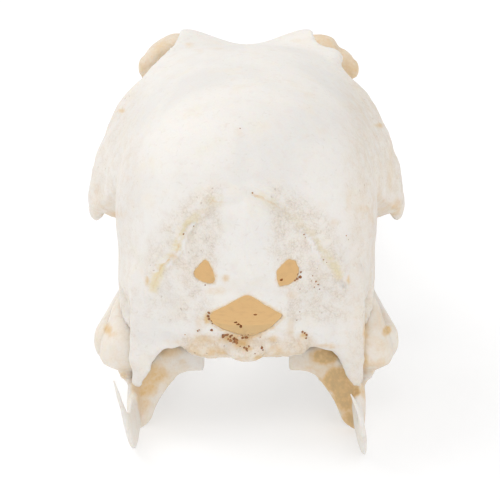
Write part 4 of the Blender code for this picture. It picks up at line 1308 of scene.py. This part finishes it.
# How far red, green and blue go into bone, as shares of the scale in metres
DEEP_IN = (1, 0.62, 0.35)
DEEP_IN_SCALE = 0.0016
# How far noise bends the pattern of pits and cracks, in metres
BEND = 0.0009
BUMP_DEEP = 0.00012
# What the bones store for their material. A field that a bone doesn't store reads as nothing
FIELDS = ("tan", "rough", "inner", "line", "band", "thread")


class BoneNodes(Nodes):
    """The fields of a bone, and the noises that all its layers share, from clouds to grain."""

    def __init__(self, name):
        super().__init__(name)
        fields = map(self.stored, FIELDS)
        self.tan, self.pitted, self.inner, self.line, self.band, self.thread = fields
        self.broad, self.middle, self.small = map(self.cloud, (0.009, 0.0028, 0.001))
        self.fine = self.cloud(0.0004, detail=5.0)
        self.grain = self.cloud(0.0002, detail=2.0)
        sway = self.noise(0.0012, detail=2.0, roughness=0.5)["Color"]
        bend = {"operation": "MULTIPLY_ADD"}
        bent = self.add("VectorMath", bend, i0=sway, i1=(BEND,) * 3, i2=self.place)
        self.bent = bent.outputs[0]


print("stored fields:", ", ".join(FIELDS))

# %% [markdown]
# ## Layers of colour
# The colour is laid on as it came about on the real bone: clouds in the white, then scars and
# fine cracks, then the stains, with painted shade in the same tan, then the tan inside of the
# holes, and the dark pits last. Each layer is one function that mixes its colours over those
# before it.

# %% Clouds, scars, stains and painted shade
def clouded(n, white):
    """Cool, creamy and rosy clouds in the white."""
    colour = n.mix(n.step(n.broad, 0.42, 0.72), (*white, 1), COOL)
    colour = n.mix(n.times(n.step(n.middle, 0.5, 0.8), 0.6), colour, CREAM)
    return n.mix(n.times(n.step(n.small, 0.5, 0.8), 0.45), colour, ROSY)


def scarred(n, colour):
    """Beige, grainy scars where the bone is rough, cracks and scratches. Also where the cracks are."""
    scars = n.times(n.pitted, n.step(n.small, 0.30, 0.66))
    colour = n.mix(n.times(n.plus(n.times(n.pitted, 0.5), scars), 0.5), colour, BEIGE)
    grainy = n.times(n.step(n.grain, 0.48, 0.66), n.plus(n.times(scars, 0.34), 0.04))
    colour = n.mix(grainy, colour, SCAR)
    cracks = n.step(n.cells(n.bent, 0.0004, "DISTANCE_TO_EDGE"), 0.12, 0.0)
    crazed = n.times(cracks, n.plus(n.times(scars, 0.3), 0.02))
    scratches = n.step(n.cells(n.bent, 0.0026, "DISTANCE_TO_EDGE"), 0.035, 0.0)
    scratched = n.times(scratches, n.times(n.step(n.fine, 0.5, 0.65), 0.2))
    return n.mix(n.plus(crazed, scratched), colour, SCAR), crazed


def crest_stains_and_shade(n, colour, strength):
    """The crest's pale band and dark thread, then the tan of the stains and of the painted shade, darkest in
    the middle.
    """
    off_line = n.plus(n.plus(n.line, -0.52), n.times(n.plus(n.small, -0.5), 0.07))
    off_line = n.maths("ABSOLUTE", i0=off_line)
    uneven = n.step(n.small, 0.30, 0.62)
    colour = n.mix(n.times(n.step(off_line, 0.095, 0.02), n.times(n.band, uneven)), colour, BAND)
    drawn = n.times(n.step(off_line, 0.022, 0.006), n.times(n.thread, n.plus(n.fine, 0.3)))
    tan = n.maths("MAXIMUM", i0=n.tan, i1=drawn)
    broken = n.plus(n.plus(n.fine, -0.5), n.plus(n.small, -0.5))
    # The tan field is stains and painted shade together
    patchy = n.plus(n.times(tan, strength), n.times(broken, n.times(tan, 0.7)))
    colour = n.mix(n.step(patchy, 0.02, 1.1), colour, STAIN_AND_SHADE)
    return n.mix(n.step(patchy, 0.82, 1.2), colour, DEEP_STAIN_AND_SHADE)


print("layers ready: clouds, scars, stains")

# %% [markdown]
# ## Holes, pits and the finished material
# The inside of the braincase is tan with a brown edge at its holes. Its thin walls let some
# light through, which a weak glow on the inside stands for. Pits are a Voronoi pattern cut off
# near the middles of its cells, thinned out by noise so that they come in patches. Each kind of
# bone has its own white and its own strength of stain.

# %% The bone materials
def hollowed(n, colour):
    """The tan inside, and the brown edge of the holes."""
    inside = n.mix(n.step(n.small, 0.45, 0.75), INSIDE, INSIDE_DARK)
    colour = n.mix(n.step(n.inner, 0.1, 0.8), colour, inside)
    edge = n.times(n.step(n.inner, 0.05, 0.35), n.step(n.inner, 0.95, 0.6))
    return n.mix(n.times(edge, n.step(n.small, 0.35, 0.6)), colour, RIM_BROWN)


def pits_in(n):
    """Where the pits are: near the middles of cells, in patches, and mostly on rough bone."""
    patches = n.times(n.step(n.middle, 0.5, 0.62), n.plus(n.times(n.pitted, 0.5), 0.06))
    return n.times(n.step(n.cells(n.bent, 0.0008), 0.15, 0.07), patches)


def unevenness(n, pits, crazed):
    """The height for the bump: two noises, one of them stronger on rough bone, less pits and cracks."""
    height = n.plus(n.times(n.fine, 0.6), n.times(pits, -2.0))
    height = n.plus(height, n.times(n.small, n.plus(n.times(n.pitted, 3.0), 0.9)))
    return n.plus(height, n.times(crazed, -1.5))


def bone_material(name, white, stains=1.0, dullness=0.5):
    """All layers, and the light that goes into the bone and through its thin walls."""
    n = BoneNodes(name)
    colour, crazed = scarred(n, clouded(n, white))
    pits = pits_in(n)
    colour = n.mix(pits, hollowed(n, crest_stains_and_shade(n, colour, stains)), SPECK)
    normal = n.bump(unevenness(n, pits, crazed), BUMP_DEEP)
    dull = n.add("MapRange", i0=n.middle, i3=dullness, i4=dullness + 0.2).outputs[0]
    glow = n.times(n.step(n.inner, 0.2, 0.65), GLOW_THROUGH)
    n.surface(Base_Color=colour, Roughness=dull, Normal=normal, Specular_IOR_Level=0.35)
    n.surface(Emission_Color=GLOW, Emission_Strength=glow)
    return n.surface(Subsurface_Weight=0.15, Subsurface_Radius=DEEP_IN, Subsurface_Scale=DEEP_IN_SCALE)


# name, white, strength of the stains and painted shade, least roughness
case_bone = bone_material("bleached_bone", (0.85, 0.83, 0.80))
bill_bone = bone_material("bill_bone", (0.83, 0.80, 0.74), 0.9, 0.45)
jaw_bone = bone_material("jaw_bone", (0.84, 0.82, 0.785), 1.05)
shield_bone = bone_material("thin_tan_bone", (0.83, 0.76, 0.66), 1.0)
palate_bone = bone_material("palate_bone", (0.84, 0.81, 0.765), 0.9)
skull_case.data.materials.append(case_bone)
bill.data.materials.append(bill_bone)
lower_jaw.data.materials.append(jaw_bone)
for name, obj in small_bones.items():
    obj.data.materials.append(shield_bone if name.startswith("eye_shield") else palate_bone)
print("materials:", [m.name for m in (case_bone, bill_bone, jaw_bone, shield_bone, palate_bone)])

# %% [markdown]
# ## Crumbs of dried tissue
# Dark crumbs cling to the rims of the holes, under the foramen and on the floor of the
# braincase. Each is a small uneven lump. A ray is sent from the camera through the crumb's
# place in the picture, and the lump is set where it meets the bone, a little sunk in.

# %% Where the crumbs lie, in x and v, with their radii
CRUMBS = [
    (-3.62, 3.8, 0.13), (-3.7, 3.5, 0.14), (-3.62, 3.2, 0.13), (-3.4, 3, 0.1), (-3.3, 2.75, 0.07),
    (-3.37, 2.13, 0.12), (-4.7, 2.05, 0.08), (-4.55, 2.15, 0.06), (-1.02, 2.85, 0.16),
    (-0.78, 2.66, 0.2), (-0.55, 2.5, 0.12), (0.88, 3.6, 0.15), (-2.2, 1.55, 0.19), (-2, 1.65, 0.13),
    (-1.8, 1.68, 0.1), (-1.55, 1.5, 0.12), (-1.4, 1.62, 0.08), (-1.75, 1.25, 0.1), (-1.5, 1.1, 0.14),
    (-1.2, 1.3, 0.12), (-1, 1.08, 0.2), (-0.92, 0.85, 0.12), (-1.3, 0.9, 0.07), (-0.45, 1.6, 0.12),
    (-0.35, 1.38, 0.12), (-0.1, 1.62, 0.07), (0.02, 1.42, 0.16), (0.2, 1.65, 0.09), (-0.6, 0.55, 0.06),
    (-0.2, 0.45, 0.1), (0.02, 0.3, 0.14), (0.25, 0.55, 0.09), (0.1, 0.12, 0.06), (1.5, 0.42, 0.13),
    (1.62, 0.2, 0.08), (0.85, -0.15, 0.06), (1.35, 1.45, 0.05), (5.45, 1.95, 0.1), (5.65, 1.85, 0.08),
    (5.85, 1.65, 0.1), (5.8, 1.35, 0.09), (4.9, 3.1, 0.05), (5.2, 3.9, 0.05), (3.42, 7, 0.13),
    (5.02, 7.55, 0.13), (5.2, 7.3, 0.14), (4.95, 7.1, 0.12), (5.3, 7.75, 0.1), (4.72, 6.95, 0.09),
    (-4, 6.5, 0.06), (6.45, 7.4, 0.06), (6.75, 6.85, 0.09), (6.95, 6.55, 0.07), (6.6, 6.3, 0.07),
    (7.1, 6.1, 0.05), (6.3, 6.9, 0.05), (5.2, 6.1, 0.05), (-5.1, 12.2, 0.06), (-6.1, 11.45, 0.08),
    (5.6, 11.4, 0.07), (5.75, 11.1, 0.05), (7.5, 8.95, 0.06), (7.8, 8.7, 0.04), (-0.6, 21.7, 0.05),
    (0.6, 15.45, 0.07), (9.7, 11.3, 0.06), (9.9, 10.9, 0.04), (-5.95, 1.7, 0.05),
]
CRUMB_SIZE = 1.08
# How much a crumb's radius wavers, and how much flatter than an egg it lies
CRUMB_WAVER = 0.45
CRUMB_FLAT = 0.45
# The picture's upward and forward directions
UP_PICTURE = np.array([0, math.sin(VIEW_DOWN), math.cos(VIEW_DOWN)])
AHEAD = np.array([0, math.cos(VIEW_DOWN), -math.sin(VIEW_DOWN)])


def picture_ray(x, v):
    """The camera's place in metres, and the direction from it through a place in the picture."""
    seen = np.array([x, 0, 0]) + UP_PICTURE * v
    start = np.array([AIM_X, 0, 0]) + UP_PICTURE * AIM_UP - AHEAD * CAMERA_AWAY
    return Vector((start - BOX_MIDDLE) * MM), Vector(seen - start).normalized()


def lump(middle, normal, radius, seed):
    """An egg whose radius wavers with noise, flattened against the bone."""
    points, faces = ball((0, 0, 0), (1, 1, 1), around=14)
    points = points * (1 + CRUMB_WAVER * noise(points * 3, 2.0, seed))[:, None]
    points = points - CRUMB_FLAT * (points @ normal)[:, None] * normal
    return middle + points * radius * CRUMB_SIZE, faces


print(len(CRUMBS), "places for crumbs")

# %% [markdown]
# ## Setting the crumbs down
# A tree of the braincase's triangles answers where a ray meets the bone first. All crumbs go
# into one mesh, since they share one material.

# %% The crumbs
case_points, case_faces = points_of(skull_case.data), triangles_of(skull_case.data)
skull_tree = BVHTree.FromPolygons(case_points.tolist(), case_faces.tolist())
crumb_points, crumb_faces, placed = [], [], 0
for seed, (x, v, radius) in enumerate(CRUMBS):
    hit, normal, _, _ = skull_tree.ray_cast(*picture_ray(x, v))
    if hit is None:
        continue
    points, faces = lump(np.array(hit) / MM, np.array(normal), radius, seed)
    crumb_faces.append(faces + placed)
    crumb_points.append(points * MM)
    placed += len(points)
crumbs = put("dried_crumbs", (np.vstack(crumb_points), np.vstack(crumb_faces)))
crumbs.data.shade_smooth()
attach(crumbs, "root")
print(len(crumb_points), "crumbs")

# %% [markdown]
# ## What the crumbs are made of
# Dried tissue is dark red-brown and dull, lighter where it is thin. One noise mixes the two
# browns and roughens the surface.

# %% Their material
TISSUE_DARK = (0.26, 0.10, 0.035, 1)
TISSUE_LIGHT = (0.50, 0.24, 0.09, 1)
n = Nodes("dried_tissue")
mottle = n.cloud(0.0003)
colour = n.mix(n.step(mottle, 0.4, 0.7), TISSUE_DARK, TISSUE_LIGHT)
dried = n.surface(Base_Color=colour, Normal=n.bump(mottle, 0.00005), Roughness=0.7)
crumbs.data.materials.append(dried)
print("crumbs are", dried.name)

# %% [markdown]
# ## Floor, light and camera
# The skull stands on plain white card. A broad soft light from the upper left makes the faint
# shadow on the right, and the white surroundings fill the rest. The camera looks from behind,
# 18 degrees down, from 400 mm away with a long lens.

# %% The floor
FLOOR_HALF = 3.0
CARD_DARK = (0.59, 0.597, 0.61, 1)
CARD_LIGHT = (0.62, 0.627, 0.64, 1)
CARD_GLOW = 0.435
corners = np.array([[-1, -1, 0], [1, -1, 0], [1, 1, 0], [-1, 1, 0]]) * FLOOR_HALF
floor = put("card_floor", (corners, np.array([[0, 1, 2, 3]])))
n = Nodes("white_card")
colour = n.mix(n.cloud(0.02), CARD_DARK, CARD_LIGHT)
card = n.surface(Base_Color=colour, Roughness=0.9, Emission_Color=(1, 1, 1, 1), Emission_Strength=CARD_GLOW)
floor.data.materials.append(card)
print("floor", 2 * FLOOR_HALF, "m wide")

# %% [markdown]
# ## Light and lens
# Two large soft lamps and a bright world make the even light of a catalogue picture. The
# camera stands at its distance along one line, so that the near hooks look a little larger
# than the bill behind them.

# %% The lights and the camera
WARM = (1, 0.985, 0.96)
SKY = (1, 0.99, 0.975, 1)
SKY_BRIGHT = 0.722
LIGHT_AIM = (0, -0.04, 0.015)
# name, watts, size in metres and place of each lamp
LAMPS = [("soft_key", 1.12, 0.4, (-0.34, 0.14, 0.48)), ("soft_fill", 1.12, 0.6, (0.12, -0.5, 0.54))]
# Width of the sensor, and how much of the scene it sees at the skull, in millimetres
SENSOR = 36
FRAME_WIDTH = 48.5


def stand(name, data, place, toward):
    """Puts a lamp or a camera at a place, looking along a direction."""
    obj = bpy.data.objects.new(name, data)
    obj.location = place
    obj.rotation_euler = Vector(toward).to_track_quat("-Z", "Y").to_euler()
    bpy.context.scene.collection.objects.link(obj)
    return obj


for name, watts, size, place in LAMPS:
    lamp = bpy.data.lights.new(name, "AREA")
    lamp.energy = watts
    lamp.size = size
    lamp.color = WARM
    stand(name, lamp, place, Vector(LIGHT_AIM) - Vector(place))
world = bpy.data.worlds.new("studio")
world.use_nodes = True
world.node_tree.nodes["Background"].inputs["Color"].default_value = SKY
world.node_tree.nodes["Background"].inputs["Strength"].default_value = SKY_BRIGHT
bpy.context.scene.world = world
bpy.context.scene.view_settings.view_transform = "Standard"

lens = bpy.data.cameras.new("camera")
lens.sensor_width = SENSOR
lens.lens = SENSOR * CAMERA_AWAY / FRAME_WIDTH
lens.clip_start = 0.01
lens.clip_end = 20
aim = (np.array([AIM_X, 0, 0]) + UP_PICTURE * AIM_UP - BOX_MIDDLE) * MM
camera = stand("camera", lens, Vector(aim) - Vector(AHEAD) * CAMERA_AWAY * MM, AHEAD)
bpy.context.scene.camera = camera
print("lens", round(lens.lens, 1), "mm")
